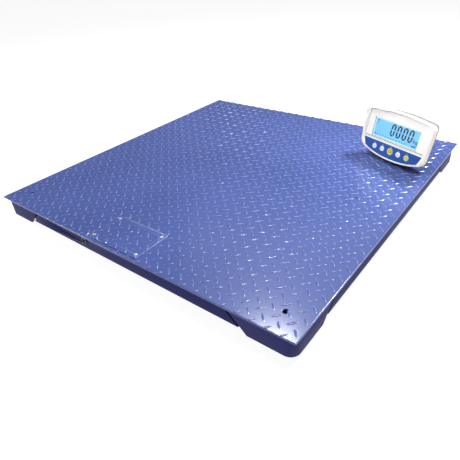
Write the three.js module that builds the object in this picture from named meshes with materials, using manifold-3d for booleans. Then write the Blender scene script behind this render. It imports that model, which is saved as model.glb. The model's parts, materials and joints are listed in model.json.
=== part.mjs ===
// Low platform floor scale with four load cells and a weight indicator on a tilting desk stand.
//
// Units are millimetres and +Z is up. The origin is on the floor under the middle of the deck.
// +X runs to the right along the front edge, where the access cover is, and +Y runs to the back.
//
// Every sub-part is one closed body. Touching neighbours keep a gap of GAP.

import * as THREE from 'three';
import { mergeVertices } from 'three/addons/utils/BufferGeometryUtils.js';
import Module from 'manifold-3d';

const wasm = await Module();
wasm.setup();

// ---------------------------------------------------------------- driving dimensions, platform

const DECK_SIDE = 1200;
const DECK_TOP = 90;
const PLATE_THICKNESS = 6;
const DECK_CORNER_RADIUS = 4;
const GAP = 0.3;
const PAST = 1;                     // how far a cutting body runs past the faces that it cuts

const WALL_INSET = 7.5;            // outer faces of the walls, in from the deck edge
const CHANNEL_WALL = 4;
const CHANNEL_BOTTOM = 36;
const CHANNEL_FLANGE = 30;
const CHANNEL_END_TOP = 210;       // start of a side channel from the deck's tip, at its top
const CHANNEL_END_BOTTOM = 162;    // the same, at its bottom: its ends are cut on a slant

const HOUSING_BOTTOM = 22;
const HOUSING_WALL = 6;
const HOUSING_RADIUS = 28;
const HOUSING_END_TOP = 200;       // end of a corner housing's wall from the deck's tip, at its top
const HOUSING_END_BOTTOM = 138;
const HOUSING_PLATE = 5.7;
const HOUSING_PLATE_REACH = 193;
const HOUSING_HOLE_CLEARANCE = 1;   // wider than the deck hole above it

const FOOT_INSET = 70;             // foot axis, in from both deck edges
const FOOT_HOLE_RADIUS = 6.75;     // deck hole through which a foot is levelled
const LIFTING_HOLE_RADIUS = 5;
const LIFTING_HOLE_X = 449;
const LIFTING_HOLE_Y = 23;

const CELL_LENGTH = 130;
const CELL_WIDTH = 32;
const CELL_HEIGHT = 31.7;
const CELL_BOTTOM = 32;
const CELL_END_TO_FOOT = 16;
const GAUGE_POCKET_RADIUS = 9;
const GAUGE_POCKET_DEPTH = 6;
const GAUGE_POCKET_PLACE = 0.42;    // share of the cell's length, from the foot's end
const SPACER_LENGTH = 60;

const STUD_RADIUS = 6;
const STUD_BALL_RADIUS = 7;
const STUD_BALL_CENTRE = 12.3;
const STUD_COLLAR_BOTTOM = 21;
const STUD_COLLAR_RADIUS = 10;
const STUD_TOP = 61;
const STUD_KEY = { radius: 3.2, depth: 7 };
const THREAD_CLEARANCE = 0.4;
const PAD = {
  radius: 30, height: 15, edge: 1.5, rim: 6, neck: 11.5, seat: 4.5, ballClearance: 0.6, socketFoot: 11,
};

const RIB_POSITIONS = [-360, -165, 165, 360];
const RIB_HALF_LENGTH = 565;
const RIB_BOTTOM = 42;
const RIB_FLANGE = 30;
const RIB_WALL = 3;

// ---------------------------------------------------------------- junction pocket at the front

const COVER = { x: -23, y: -522, width: 212, depth: 129 };
const COVER_CLEARANCE = 1.5;
const COVER_SCREW = { dx: 92, dy: 50, head: 5.5, shank: 2.9, headDepth: 3.1, length: 12, sunk: 0.1 };
const SCREW_HOLE_RADIUS = 3.3;
const POCKET = { width: 168, depth: 84, bottom: 50, wall: 3, flangeWidth: 240, flangeDepth: 132 };
const JUNCTION_BOX = { width: 112, depth: 66, bottom: 53.3, top: 75, lid: 3.2, wall: 3, corner: 5 };
const SOCKET = {
  x: -146, z: 65, ring: 13.5, ringHeight: 2.4, ringEdge: 0.8, barrel: 10.5, bore: 7.5, boreDepth: 7.8,
  nut: 11.6, nutHeight: 5, gland: 5.5, length: 11,
};

const CABLE_RADIUS = 2.5;
const CABLE_HOLE_RADIUS = 4;
const CABLE_HEIGHT = 62;
const FRONT_CABLE_Y = -(DECK_SIDE / 2 - FOOT_INSET);
const BACK_CABLE_Y = -505;
const BACK_CABLE_X = 280;
const HOME_CABLE_Y = -545;
const CABLE_BEND = 30;
const CABLE_RISE = 32;              // run over which a cable climbs from its cell to the rib holes

// ---------------------------------------------------------------- weight indicator
// Drawn in its face frame: origin in the middle of the display, +X right, +Y up, +Z out of the face.

const INDICATOR_POSITION = new THREE.Vector3(447.5, 316.8, DECK_TOP + 109.6);
const INDICATOR_HEADING = THREE.MathUtils.degToRad(-21);
const INDICATOR_TILT = THREE.MathUtils.degToRad(12.2);

const FACE = {
  topHalfWidth: 148, topCorner: 45, bottomHalfWidth: 143, bottomCorner: -56,
  crown: 72, crownCornerX: 130, crownCornerY: 63,
  chin: -99.5, chinCornerX: 124, chinCornerY: -80,
};
const FACE_POINTS = 48;
const SHELL_WALL = 3;
const INNER_SCALE = 0.965;          // inside of a shell, as a share of the outline outside it
const SEAM_Z = -10;                 // parting plane between front and rear shell
const VISOR_TOP = 8;                // the rim stands this far out of the face at the crown
const VISOR_BOTTOM = 1.5;           // and this far at the chin
const RECESS = {
  halfWidth: 130, taper: 4, top: 60, corner: 8, notchHalfWidth: 47, notchTop: 66, notchSlope: 6,
  bottom: -94, bottomBend: 70, bottomCornerX: 118, bottomCornerRise: 20,
};
const DISPLAY = {
  width: 192, height: 58.8, lensMargin: 4, lensThickness: 2, lensSunk: 0.5, lcdMargin: 3, lcdDepth: 5,
};
const KEYPAD = { top: -45.5, margin: 1, cornerMargin: 1.5, thickness: 0.8 };
const KEYS = [
  { name: 'key_1', x: -73, radius: 8.4, colour: 0xe9ecf2 },
  { name: 'key_2', x: -37.3, radius: 8.4, colour: 0xe9ecf2 },
  { name: 'key_3', x: -0.6, radius: 11.3, colour: 0xd9c437 },
  { name: 'key_4', x: 35, radius: 8.4, colour: 0xe9ecf2 },
  { name: 'key_5', x: 71, radius: 9, colour: 0xd8d23c },
];
const KEY_Y = -66.5;
const KEY_PROUD = 2.6;
const KEY_CLEARANCE = 0.4;
const KEY_SKIRT = { extra: 1.6, bottom: 4.2 };
const KEY_DOME = { edge: 1.2, shoulder: 1, rise: 0.2 };

const REAR_DEPTH = -60;
const REAR_RINGS = [                // [z, scale of the face outline, rise]
  [SEAM_Z - GAP, 1, 0],
  [-15, 0.99, 0.5],
  [-24, 0.955, 2],
  [-36, 0.9, 5],
  [-50, 0.845, 8],
  [-57, 0.81, 8],
  [REAR_DEPTH, 0.75, 8],
];
const PIVOT = { y: 10, z: -78 };    // tilt axis of the indicator in its stand
const BOSS = { halfWidth: 27, radius: 11, bore: 4.6 };
const BATTERY_DOOR = { x: -67.5, y: 5, width: 76, height: 58, thickness: 1.3 };
const REAR_SOCKET = {
  x: 78, y: -22, ring: 11, ringHeight: 2.5, barrel: 8, barrelHeight: 9, bore: 5.5, inside: 7,
};
const MAIN_BOARD = { halfWidth: 100, bottom: -45, top: 48, back: -16, thickness: 1.6 };
const BATTERY = { left: -103, right: -33, bottom: -18, top: 28, back: -54, front: -20 };

const STAND = { halfWidth: 56, front: 4, back: 96, corner: 8, sheet: 3, pad: 1.7 };
const EAR = { thickness: 3, radius: 10, footHalfWidth: 26, backMargin: 3 };
const KNOB = { radius: 14, lobes: 6, lobeHeight: 1.5, lobeSteps: 4, length: 16, bolt: 4, boltPast: 6 };

// ---------------------------------------------------------------- finishes

const finish = (color, roughness, metalness) => (
  new THREE.MeshStandardMaterial({ color, roughness, metalness })
);

const DECK_PAINT = finish(0x4a55a0, 0.45, 0.35);
const FRAME_PAINT = finish(0x3d3f6b, 0.5, 0.3);
const DARK_STEEL = finish(0x2a2b33, 0.55, 0.5);
const CELL_STEEL = finish(0xb9bcc2, 0.35, 0.9);
const ZINC = finish(0xc9ccd1, 0.3, 0.95);
const RUBBER = finish(0x1a1a1c, 0.85, 0);
const BLACK_PLASTIC = finish(0x202226, 0.5, 0);
const SHELL_PLASTIC = finish(0xece7df, 0.45, 0);
const REAR_PLASTIC = finish(0x707278, 0.5, 0);
const KEYPAD_BLUE = finish(0x2c56a6, 0.4, 0);
const LENS_CLEAR = finish(0xdfeaf2, 0.1, 0);
const LCD_BLUE = finish(0x7dcdf5, 0.3, 0);
const BOARD_GREEN = finish(0x1f6b3c, 0.5, 0.1);
const BATTERY_GREY = finish(0x4b4f57, 0.6, 0);

// ---------------------------------------------------------------- solids from three.js geometry

const solidOf = (geometry) => {
  const bare = geometry.clone();
  bare.deleteAttribute('normal');
  bare.deleteAttribute('uv');
  const merged = mergeVertices(bare, 1e-4);
  return new wasm.Manifold(new wasm.Mesh({
    numProp: 3,
    vertProperties: merged.attributes.position.array,
    triVerts: new Uint32Array(merged.index.array),
  }));
};

const geometryOf = (solid) => {
  const mesh = solid.getMesh();
  const geometry = new THREE.BufferGeometry();
  geometry.setAttribute('position', new THREE.BufferAttribute(new Float32Array(mesh.vertProperties), 3));
  geometry.setIndex(new THREE.BufferAttribute(new Uint32Array(mesh.triVerts), 1));
  return geometry;
};

const box = (x0, x1, y0, y1, z0, z1) => (
  new THREE.BoxGeometry(x1 - x0, y1 - y0, z1 - z0).translate((x0 + x1) / 2, (y0 + y1) / 2, (z0 + z1) / 2)
);

const prism = (shape, z0, z1, curveSegments = 6) => (
  new THREE.ExtrudeGeometry(shape, { depth: z1 - z0, bevelEnabled: false, curveSegments }).translate(0, 0, z0)
);

// A round bar along Z, X or Y, with one end at `from` and the other at `to`.
const barZ = (x, y, from, to, radius, sides = 20) => (
  new THREE.CylinderGeometry(radius, radius, to - from, sides)
    .rotateX(Math.PI / 2)
    .translate(x, y, (from + to) / 2)
);

const barX = (y, z, from, to, radius, sides = 20) => (
  new THREE.CylinderGeometry(radius, radius, to - from, sides)
    .rotateZ(Math.PI / 2)
    .translate((from + to) / 2, y, z)
);

const barY = (x, z, from, to, radius, sides = 20) => (
  new THREE.CylinderGeometry(radius, radius, to - from, sides).translate(x, (from + to) / 2, z)
);

// Turned about +Z from [radius, z] pairs that start and end on the axis or close on themselves.
const turned = (profile, sides) => (
  new THREE.LatheGeometry(profile.map(([r, z]) => new THREE.Vector2(r, z)), sides).rotateX(Math.PI / 2)
);

const join = (...geometries) => geometryOf(
  geometries.map(solidOf).reduce((whole, piece) => whole.add(piece)),
);

const cut = (geometry, ...tools) => geometryOf(
  tools.map(solidOf).reduce((rest, tool) => rest.subtract(tool), solidOf(geometry)),
);

const polygon = (points) => new THREE.Shape(points.map(([x, y]) => new THREE.Vector2(x, y)));

const roundedRectangle = (x0, x1, y0, y1, radius) => {
  const shape = new THREE.Shape();
  shape.moveTo(x0 + radius, y0);
  shape.lineTo(x1 - radius, y0);
  shape.absarc(x1 - radius, y0 + radius, radius, -Math.PI / 2, 0);
  shape.lineTo(x1, y1 - radius);
  shape.absarc(x1 - radius, y1 - radius, radius, 0, Math.PI / 2);
  shape.lineTo(x0 + radius, y1);
  shape.absarc(x0 + radius, y1 - radius, radius, Math.PI / 2, Math.PI);
  shape.lineTo(x0, y0 + radius);
  shape.absarc(x0 + radius, y0 + radius, radius, Math.PI, Math.PI * 1.5);
  return shape;
};

// A closed body through rings of equal point count, each ring [points, z] with its points in XY.
const loft = (rings) => {
  const count = rings[0][0].length;
  const positions = [];
  const indices = [];
  for (const [points, z] of rings) {
    points.forEach((point) => positions.push(point.x, point.y, z));
  }
  for (let ring = 0; ring < rings.length - 1; ring += 1) {
    for (let i = 0; i < count; i += 1) {
      const a = ring * count + i;
      const b = ring * count + ((i + 1) % count);
      indices.push(a, b, b + count, a, b + count, a + count);
    }
  }
  const last = (rings.length - 1) * count;
  for (let i = 1; i < count - 1; i += 1) {
    indices.push(0, i + 1, i);
    indices.push(last, last + i, last + i + 1);
  }
  const geometry = new THREE.BufferGeometry();
  geometry.setAttribute('position', new THREE.Float32BufferAttribute(positions, 3));
  geometry.setIndex(indices);
  return geometry;
};

// ---------------------------------------------------------------- the assembly

const scale = new THREE.Group();

const place = (name, geometry, material, parent = scale) => {
  const mesh = new THREE.Mesh(geometry, material);
  mesh.name = name;
  parent.add(mesh);
  return mesh;
};

const HALF = DECK_SIDE / 2;
const DECK_UNDERSIDE = DECK_TOP - PLATE_THICKNESS;
const FRAME_TOP = DECK_UNDERSIDE - GAP;
const FOOT = HALF - FOOT_INSET;
const WALL_FACE = HALF - WALL_INSET;

// The four corners of the platform, with the quarter turns that bring the front left one to each.
const CORNERS = [
  { name: 'front_left', x: -1, y: -1, turns: 0 },
  { name: 'front_right', x: 1, y: -1, turns: 1 },
  { name: 'back_right', x: 1, y: 1, turns: 2 },
  { name: 'back_left', x: -1, y: 1, turns: 3 },
];

// ---------------------------------------------------------------- deck and cover

const deckPlate = () => {
  const outline = roundedRectangle(-HALF, HALF, -HALF, HALF, DECK_CORNER_RADIUS);
  const low = DECK_UNDERSIDE - PAST;
  const high = DECK_TOP + PAST;
  const openX = COVER.width / 2 + COVER_CLEARANCE;
  const openY = COVER.depth / 2 + COVER_CLEARANCE;
  return cut(
    prism(outline, DECK_UNDERSIDE, DECK_TOP, 3),
    box(COVER.x - openX, COVER.x + openX, COVER.y - openY, COVER.y + openY, low, high),
    ...CORNERS.map((corner) => barZ(corner.x * FOOT, corner.y * FOOT, low, high, FOOT_HOLE_RADIUS)),
    barZ(LIFTING_HOLE_X, LIFTING_HOLE_Y, low, high, LIFTING_HOLE_RADIUS, 16),
    barZ(-LIFTING_HOLE_X, LIFTING_HOLE_Y, low, high, LIFTING_HOLE_RADIUS, 16),
  );
};

const coverScrewPlaces = () => [[-1, -1], [1, -1], [1, 1], [-1, 1]].map(([sx, sy]) => ({
  x: COVER.x + sx * COVER_SCREW.dx,
  y: COVER.y + sy * COVER_SCREW.dy,
}));

const countersunkProfile = (clearance, top, bottom) => [
  [0, bottom],
  [COVER_SCREW.shank + clearance, bottom],
  [COVER_SCREW.shank + clearance, top - COVER_SCREW.headDepth],
  [COVER_SCREW.head + clearance, top],
  [0, top],
];

const coverScrew = () => turned(countersunkProfile(0, 0, -COVER_SCREW.length), 16);

const accessCover = () => {
  const x = COVER.width / 2;
  const y = COVER.depth / 2;
  const plate = box(COVER.x - x, COVER.x + x, COVER.y - y, COVER.y + y, DECK_UNDERSIDE, DECK_TOP);
  const sink = () => turned(countersunkProfile(GAP, COVER_SCREW.sunk, -PLATE_THICKNESS - PAST), 16);
  return cut(plate, ...coverScrewPlaces().map((at) => sink().translate(at.x, at.y, DECK_TOP)));
};

place('deck_plate', deckPlate(), DECK_PAINT);
place('access_cover', accessCover(), DECK_PAINT);
coverScrewPlaces().forEach((at, index) => {
  place(`cover_screw_${index + 1}`, coverScrew(), ZINC).position.set(at.x, at.y, DECK_TOP - COVER_SCREW.sunk);
});

// ---------------------------------------------------------------- side channels and ribs

// Angle section along X at the front edge: an upright web and a flange turned in at its foot.
const sideChannel = () => {
  const section = polygon([
    [-WALL_FACE, CHANNEL_BOTTOM],
    [-WALL_FACE + CHANNEL_FLANGE, CHANNEL_BOTTOM],
    [-WALL_FACE + CHANNEL_FLANGE, CHANNEL_BOTTOM + CHANNEL_WALL],
    [-WALL_FACE + CHANNEL_WALL, CHANNEL_BOTTOM + CHANNEL_WALL],
    [-WALL_FACE + CHANNEL_WALL, FRAME_TOP],
    [-WALL_FACE, FRAME_TOP],
  ]);
  const reach = HALF - CHANNEL_END_BOTTOM;
  const bar = prism(section, -reach, reach).rotateX(Math.PI / 2).rotateZ(Math.PI / 2);
  const slant = polygon([
    [reach, CHANNEL_BOTTOM - PAST],
    [reach + PAST, CHANNEL_BOTTOM - PAST],
    [reach + PAST, FRAME_TOP + PAST],
    [HALF - CHANNEL_END_TOP, FRAME_TOP + PAST],
    [HALF - CHANNEL_END_TOP, FRAME_TOP],
    [reach, CHANNEL_BOTTOM],
  ]);
  const deep = CHANNEL_FLANGE + PAST;
  const endCutter = (turn) => prism(slant, -deep, deep)
    .rotateX(Math.PI / 2)
    .rotateZ(turn)
    .translate(0, -WALL_FACE, 0);
  return cut(bar, endCutter(0), endCutter(Math.PI));
};

const frontChannel = () => cut(
  sideChannel(),
  barY(SOCKET.x, SOCKET.z, -WALL_FACE - PAST, -WALL_FACE + CHANNEL_WALL + PAST, SOCKET.barrel + GAP, 24),
);

place('front_channel', frontChannel(), FRAME_PAINT);
['right_channel', 'back_channel', 'left_channel'].forEach((name, index) => {
  place(name, sideChannel(), FRAME_PAINT).rotation.z = ((index + 1) * Math.PI) / 2;
});

const ribHoles = (side) => {
  const outer = Math.abs(side) > BACK_CABLE_X;
  return outer ? [FRONT_CABLE_Y, -FRONT_CABLE_Y] : [FRONT_CABLE_Y, BACK_CABLE_Y];
};

// Channel section along Y, open to the outside of the platform, with cable holes through its web.
const rib = (x) => {
  const out = Math.sign(x);
  const [web, edge] = [x, x + out * RIB_FLANGE];
  const [low, high] = [Math.min(web, edge), Math.max(web, edge)];
  const hollowLow = out > 0 ? web + RIB_WALL : low - PAST;
  const hollowHigh = out > 0 ? high + PAST : web - RIB_WALL;
  const length = RIB_HALF_LENGTH;
  const deep = RIB_WALL + PAST;
  return cut(
    box(low, high, -length, length, RIB_BOTTOM, FRAME_TOP),
    box(hollowLow, hollowHigh, -length - PAST, length + PAST, RIB_BOTTOM + RIB_WALL, FRAME_TOP - RIB_WALL),
    ...ribHoles(x).map((y) => barX(y, CABLE_HEIGHT, x - deep, x + deep, CABLE_HOLE_RADIUS, 12)),
  );
};

RIB_POSITIONS.forEach((x, index) => place(`rib_${index + 1}`, rib(x), FRAME_PAINT));

// ---------------------------------------------------------------- corner housings

const housingPlan = (inset, reach) => {
  const edge = -WALL_FACE + inset;
  const radius = HOUSING_RADIUS - inset;
  const shape = new THREE.Shape();
  shape.moveTo(edge, reach);
  shape.lineTo(edge, edge + radius);
  shape.absarc(edge + radius, edge + radius, radius, Math.PI, Math.PI * 1.5);
  shape.lineTo(reach, edge);
  return shape;
};

// Welded corner box: a wall bent round the deck's tip, its free ends slanted, under a cell plate.
const cornerHousing = () => {
  const end = -HALF + HOUSING_END_TOP;
  const outer = housingPlan(0, end);
  outer.lineTo(end, -WALL_FACE + HOUSING_WALL);
  outer.lineTo(-WALL_FACE + HOUSING_RADIUS, -WALL_FACE + HOUSING_WALL);
  const centre = -WALL_FACE + HOUSING_RADIUS;
  outer.absarc(centre, centre, HOUSING_RADIUS - HOUSING_WALL, Math.PI * 1.5, Math.PI, true);
  outer.lineTo(-WALL_FACE + HOUSING_WALL, end);
  const wall = prism(outer, HOUSING_BOTTOM, FRAME_TOP, 8);

  const slant = polygon([
    [-HALF + HOUSING_END_BOTTOM, HOUSING_BOTTOM],
    [-HALF + HOUSING_END_BOTTOM, HOUSING_BOTTOM - PAST],
    [end + PAST, HOUSING_BOTTOM - PAST],
    [end + PAST, FRAME_TOP],
    [end, FRAME_TOP],
  ]);
  const deep = HOUSING_WALL + PAST;
  const alongX = prism(slant, -deep, deep)
    .rotateX(Math.PI / 2)
    .translate(0, -WALL_FACE, 0);
  const alongY = prism(slant, -deep, deep)
    .rotateX(Math.PI / 2)
    .rotateZ(Math.PI / 2)
    .translate(-WALL_FACE, 0, 0);

  const reach = -HALF + HOUSING_PLATE_REACH;
  const plan = housingPlan(HOUSING_WALL / 2, reach);
  plan.lineTo(reach, reach);
  const plate = prism(plan, FRAME_TOP - HOUSING_PLATE, FRAME_TOP, 8);
  const holeRadius = FOOT_HOLE_RADIUS + HOUSING_HOLE_CLEARANCE;
  const hole = barZ(-FOOT, -FOOT, FRAME_TOP - HOUSING_PLATE - PAST, FRAME_TOP + PAST, holeRadius, 16);
  return cut(join(cut(wall, alongX, alongY), plate), hole);
};

CORNERS.forEach((corner) => {
  const mesh = place(`corner_housing_${corner.name}`, cornerHousing(), FRAME_PAINT);
  mesh.rotation.z = (corner.turns * Math.PI) / 2;
});

// ---------------------------------------------------------------- load cells and feet
// Each is drawn round its foot axis, with the cell running towards +X.

const loadCell = () => {
  const low = -CELL_END_TO_FOOT;
  const high = low + CELL_LENGTH;
  const half = CELL_WIDTH / 2;
  const top = CELL_BOTTOM + CELL_HEIGHT;
  const middle = (CELL_BOTTOM + top) / 2;
  const pocketX = low + CELL_LENGTH * GAUGE_POCKET_PLACE;
  const pocket = (y0, y1) => barY(pocketX, middle, y0, y1, GAUGE_POCKET_RADIUS, 16);
  return cut(
    box(low, high, -half, half, CELL_BOTTOM, top),
    barZ(0, 0, CELL_BOTTOM - PAST, top + PAST, STUD_RADIUS + THREAD_CLEARANCE, 16),
    pocket(-half - PAST, -half + GAUGE_POCKET_DEPTH),
    pocket(half - GAUGE_POCKET_DEPTH, half + PAST),
  );
};

const cellSpacer = () => {
  const end = CELL_LENGTH - CELL_END_TO_FOOT;
  const half = CELL_WIDTH / 2;
  const top = FRAME_TOP - HOUSING_PLATE - GAP;
  return box(end - SPACER_LENGTH, end, -half, half, CELL_BOTTOM + CELL_HEIGHT + GAP, top);
};

const footStud = () => {
  const ball = [[0, STUD_BALL_CENTRE - STUD_BALL_RADIUS]];
  for (let step = 1; step <= 6; step += 1) {
    const angle = (step / 8) * Math.PI;
    ball.push([
      STUD_BALL_RADIUS * Math.sin(angle),
      STUD_BALL_CENTRE - STUD_BALL_RADIUS * Math.cos(angle),
    ]);
  }
  const shank = turned([
    ...ball,
    [ball[6][0], STUD_COLLAR_BOTTOM + 2],
    [STUD_RADIUS, STUD_COLLAR_BOTTOM + 3],
    [STUD_RADIUS, STUD_TOP - 1],
    [STUD_RADIUS - 1, STUD_TOP],
    [0, STUD_TOP],
  ], 12);
  const collar = barZ(0, 0, STUD_COLLAR_BOTTOM, CELL_BOTTOM - GAP, STUD_COLLAR_RADIUS, 6);
  const key = barZ(0, 0, STUD_TOP - STUD_KEY.depth, STUD_TOP + PAST, STUD_KEY.radius, 6);
  return cut(join(shank, collar), key);
};

// A round rubber foot with a socket that the stud's ball stands in.
const footPad = () => {
  const socket = STUD_BALL_RADIUS + PAD.ballClearance;
  return turned([
    [0, 0],
    [PAD.radius - PAD.edge, 0],
    [PAD.radius, PAD.edge],
    [PAD.radius, PAD.rim],
    [PAD.radius - 2 * PAD.edge, PAD.rim + PAD.edge],
    [PAD.neck + PAD.edge, PAD.socketFoot],
    [PAD.neck, PAD.height],
    [socket, PAD.height],
    [socket, PAD.socketFoot],
    [socket / 2, PAD.seat],
    [0, PAD.seat],
  ], 20);
};

CORNERS.forEach((corner) => {
  const group = new THREE.Group();
  group.position.set(corner.x * FOOT, corner.y * FOOT, 0);
  group.rotation.z = corner.x < 0 ? 0 : Math.PI;
  scale.add(group);
  place(`load_cell_${corner.name}`, loadCell(), CELL_STEEL, group);
  place(`cell_spacer_${corner.name}`, cellSpacer(), DARK_STEEL, group);
  place(`foot_stud_${corner.name}`, footStud(), ZINC, group);
  place(`foot_pad_${corner.name}`, footPad(), RUBBER, group);
});

// ---------------------------------------------------------------- junction pocket, box and cables

const pocketWallHoles = () => {
  const left = [FRONT_CABLE_Y, BACK_CABLE_Y, HOME_CABLE_Y];
  const right = [FRONT_CABLE_Y, BACK_CABLE_Y];
  const edge = (POCKET.width - POCKET.wall) / 2;
  const deep = POCKET.wall + PAST;
  const hole = (x, y) => barX(y, CABLE_HEIGHT, x - deep, x + deep, CABLE_HOLE_RADIUS, 12);
  return [
    ...left.map((y) => hole(COVER.x - edge, y)),
    ...right.map((y) => hole(COVER.x + edge, y)),
  ];
};

// Pressed tray under the deck's opening, with a flange that the cover rests on.
const junctionPocket = () => {
  const around = (width, depth, z0, z1) => box(
    COVER.x - width / 2, COVER.x + width / 2, COVER.y - depth / 2, COVER.y + depth / 2, z0, z1,
  );
  const { width, depth, wall, bottom } = POCKET;
  const screwHole = ({ x, y }) => (
    barZ(x, y, FRAME_TOP - wall - PAST, FRAME_TOP + PAST, SCREW_HOLE_RADIUS, 12)
  );
  return cut(
    join(
      around(POCKET.flangeWidth, POCKET.flangeDepth, FRAME_TOP - wall, FRAME_TOP),
      around(width, depth, bottom, FRAME_TOP),
    ),
    around(width - 2 * wall, depth - 2 * wall, bottom + wall, FRAME_TOP + PAST),
    ...coverScrewPlaces().map(screwHole),
    ...pocketWallHoles(),
  );
};

const boxOutline = (inset) => {
  const { width, depth, corner } = JUNCTION_BOX;
  const x = width / 2 - inset;
  const y = depth / 2 - inset;
  return roundedRectangle(-x, x, -y, y, corner - inset);
};

const junctionBox = () => {
  const { bottom, top, wall } = JUNCTION_BOX;
  return cut(prism(boxOutline(0), bottom, top, 3), prism(boxOutline(wall), bottom + wall, top + PAST, 3));
};

const junctionLid = () => {
  const { top, lid } = JUNCTION_BOX;
  return prism(boxOutline(0), top + GAP, top + GAP + lid, 3);
};

// Panel socket turned about Y: a ring outside the web, a barrel through it and a nut inside.
const platformSocket = () => {
  const face = -WALL_FACE - GAP;
  const inner = -WALL_FACE + CHANNEL_WALL + GAP;
  const front = face - SOCKET.ringHeight;
  const profile = [
    [0, face + SOCKET.boreDepth],
    [SOCKET.bore, face + SOCKET.boreDepth],
    [SOCKET.bore, front],
    [SOCKET.ring - 1, front],
    [SOCKET.ring, front + SOCKET.ringEdge],
    [SOCKET.ring, face],
    [SOCKET.barrel, face],
    [SOCKET.barrel, inner],
    [SOCKET.nut, inner],
    [SOCKET.nut, inner + SOCKET.nutHeight],
    [SOCKET.gland, inner + SOCKET.nutHeight + 2],
    [SOCKET.gland, inner + SOCKET.length],
    [0, inner + SOCKET.length],
  ];
  return new THREE.LatheGeometry(profile.map(([r, y]) => new THREE.Vector2(r, y)), 20)
    .translate(SOCKET.x, 0, SOCKET.z);
};

const cable = (points, steps) => {
  const section = new THREE.Shape();
  section.absarc(0, 0, CABLE_RADIUS, 0, Math.PI * 2);
  const path = new THREE.CatmullRomCurve3(points.map(([x, y, z]) => new THREE.Vector3(x, y, z)));
  path.curveType = 'centripetal';
  return new THREE.ExtrudeGeometry(section, {
    steps, extrudePath: path, bevelEnabled: false, curveSegments: 4,
  });
};

// From the inner end of a load cell, up to the height of the rib holes and on to the junction box.
const cellCable = (corner) => {
  const start = FOOT + CELL_END_TO_FOOT - CELL_LENGTH - GAP;
  const boxFace = JUNCTION_BOX.width / 2 + GAP;
  const end = corner.x < 0 ? COVER.x - boxFace : COVER.x + boxFace;
  const side = corner.x;
  const y = corner.y * FOOT;
  const rise = [
    [side * start, y, CELL_BOTTOM + CELL_HEIGHT / 2],
    [side * (start - 10), y, CELL_BOTTOM + CELL_HEIGHT / 2],
    [side * (start - CABLE_RISE), y, CABLE_HEIGHT],
    [side * (start - CABLE_RISE * 1.4), y, CABLE_HEIGHT],
  ];
  if (corner.y < 0) {
    return cable([...rise, [side * 200, y, CABLE_HEIGHT], [end, y, CABLE_HEIGHT]], 24);
  }
  const bend = CABLE_BEND;
  return cable([
    ...rise,
    [side * (BACK_CABLE_X + bend), y, CABLE_HEIGHT],
    [side * (BACK_CABLE_X + bend * 0.3), y - bend * 0.3, CABLE_HEIGHT],
    [side * BACK_CABLE_X, y - bend, CABLE_HEIGHT],
    [side * BACK_CABLE_X, BACK_CABLE_Y + bend, CABLE_HEIGHT],
    [side * (BACK_CABLE_X - bend * 0.3), BACK_CABLE_Y + bend * 0.3, CABLE_HEIGHT],
    [side * (BACK_CABLE_X - bend), BACK_CABLE_Y, CABLE_HEIGHT],
    [side * 180, BACK_CABLE_Y, CABLE_HEIGHT],
    [end, BACK_CABLE_Y, CABLE_HEIGHT],
  ], 56);
};

// From the back of the platform socket to the junction box.
const homeCable = () => {
  const start = -WALL_FACE + CHANNEL_WALL + SOCKET.length + 2 * GAP;
  const end = COVER.x - JUNCTION_BOX.width / 2 - GAP;
  return cable([
    [SOCKET.x, start, SOCKET.z],
    [SOCKET.x, start + 10, SOCKET.z],
    [SOCKET.x + 6, HOME_CABLE_Y - 7, CABLE_HEIGHT],
    [SOCKET.x + 20, HOME_CABLE_Y, CABLE_HEIGHT],
    [end, HOME_CABLE_Y, CABLE_HEIGHT],
  ], 10);
};

place('junction_pocket', junctionPocket(), FRAME_PAINT);
place('junction_box', junctionBox(), BLACK_PLASTIC).position.set(COVER.x, COVER.y, 0);
place('junction_lid', junctionLid(), BLACK_PLASTIC).position.set(COVER.x, COVER.y, 0);
place('platform_socket', platformSocket(), BLACK_PLASTIC);
CORNERS.forEach((corner) => place(`cell_cable_${corner.name}`, cellCable(corner), BLACK_PLASTIC));
place('home_cable', homeCable(), BLACK_PLASTIC);

// ---------------------------------------------------------------- indicator groups

// The stand turns with the heading only; the indicator is tilted back in it as well.
const stand = new THREE.Group();
stand.position.copy(INDICATOR_POSITION).setZ(DECK_TOP);
stand.rotation.z = INDICATOR_HEADING;
scale.add(stand);

const indicator = new THREE.Group();
indicator.position.z = INDICATOR_POSITION.z - DECK_TOP;
indicator.rotation.x = Math.PI / 2 - INDICATOR_TILT;
stand.add(indicator);

// Half of the face outline's corners are arcs or curves; the other half mirrors them.
const faceOutline = () => {
  const shape = new THREE.Shape();
  const f = FACE;
  shape.moveTo(0, f.chin);
  shape.quadraticCurveTo(f.chinCornerX * 0.55, f.chin, f.chinCornerX, f.chinCornerY);
  shape.quadraticCurveTo(f.bottomHalfWidth - 2, f.chinCornerY + 8, f.bottomHalfWidth, f.bottomCorner);
  shape.lineTo(f.topHalfWidth, f.topCorner);
  shape.quadraticCurveTo(f.topHalfWidth + 1, f.crownCornerY - 3, f.crownCornerX, f.crownCornerY);
  shape.quadraticCurveTo(f.crownCornerX * 0.5, f.crown, 0, f.crown);
  shape.quadraticCurveTo(-f.crownCornerX * 0.5, f.crown, -f.crownCornerX, f.crownCornerY);
  shape.quadraticCurveTo(-f.topHalfWidth - 1, f.crownCornerY - 3, -f.topHalfWidth, f.topCorner);
  shape.lineTo(-f.bottomHalfWidth, f.bottomCorner);
  shape.quadraticCurveTo(-f.bottomHalfWidth + 2, f.chinCornerY + 8, -f.chinCornerX, f.chinCornerY);
  shape.quadraticCurveTo(-f.chinCornerX * 0.55, f.chin, 0, f.chin);
  return shape;
};

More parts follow.
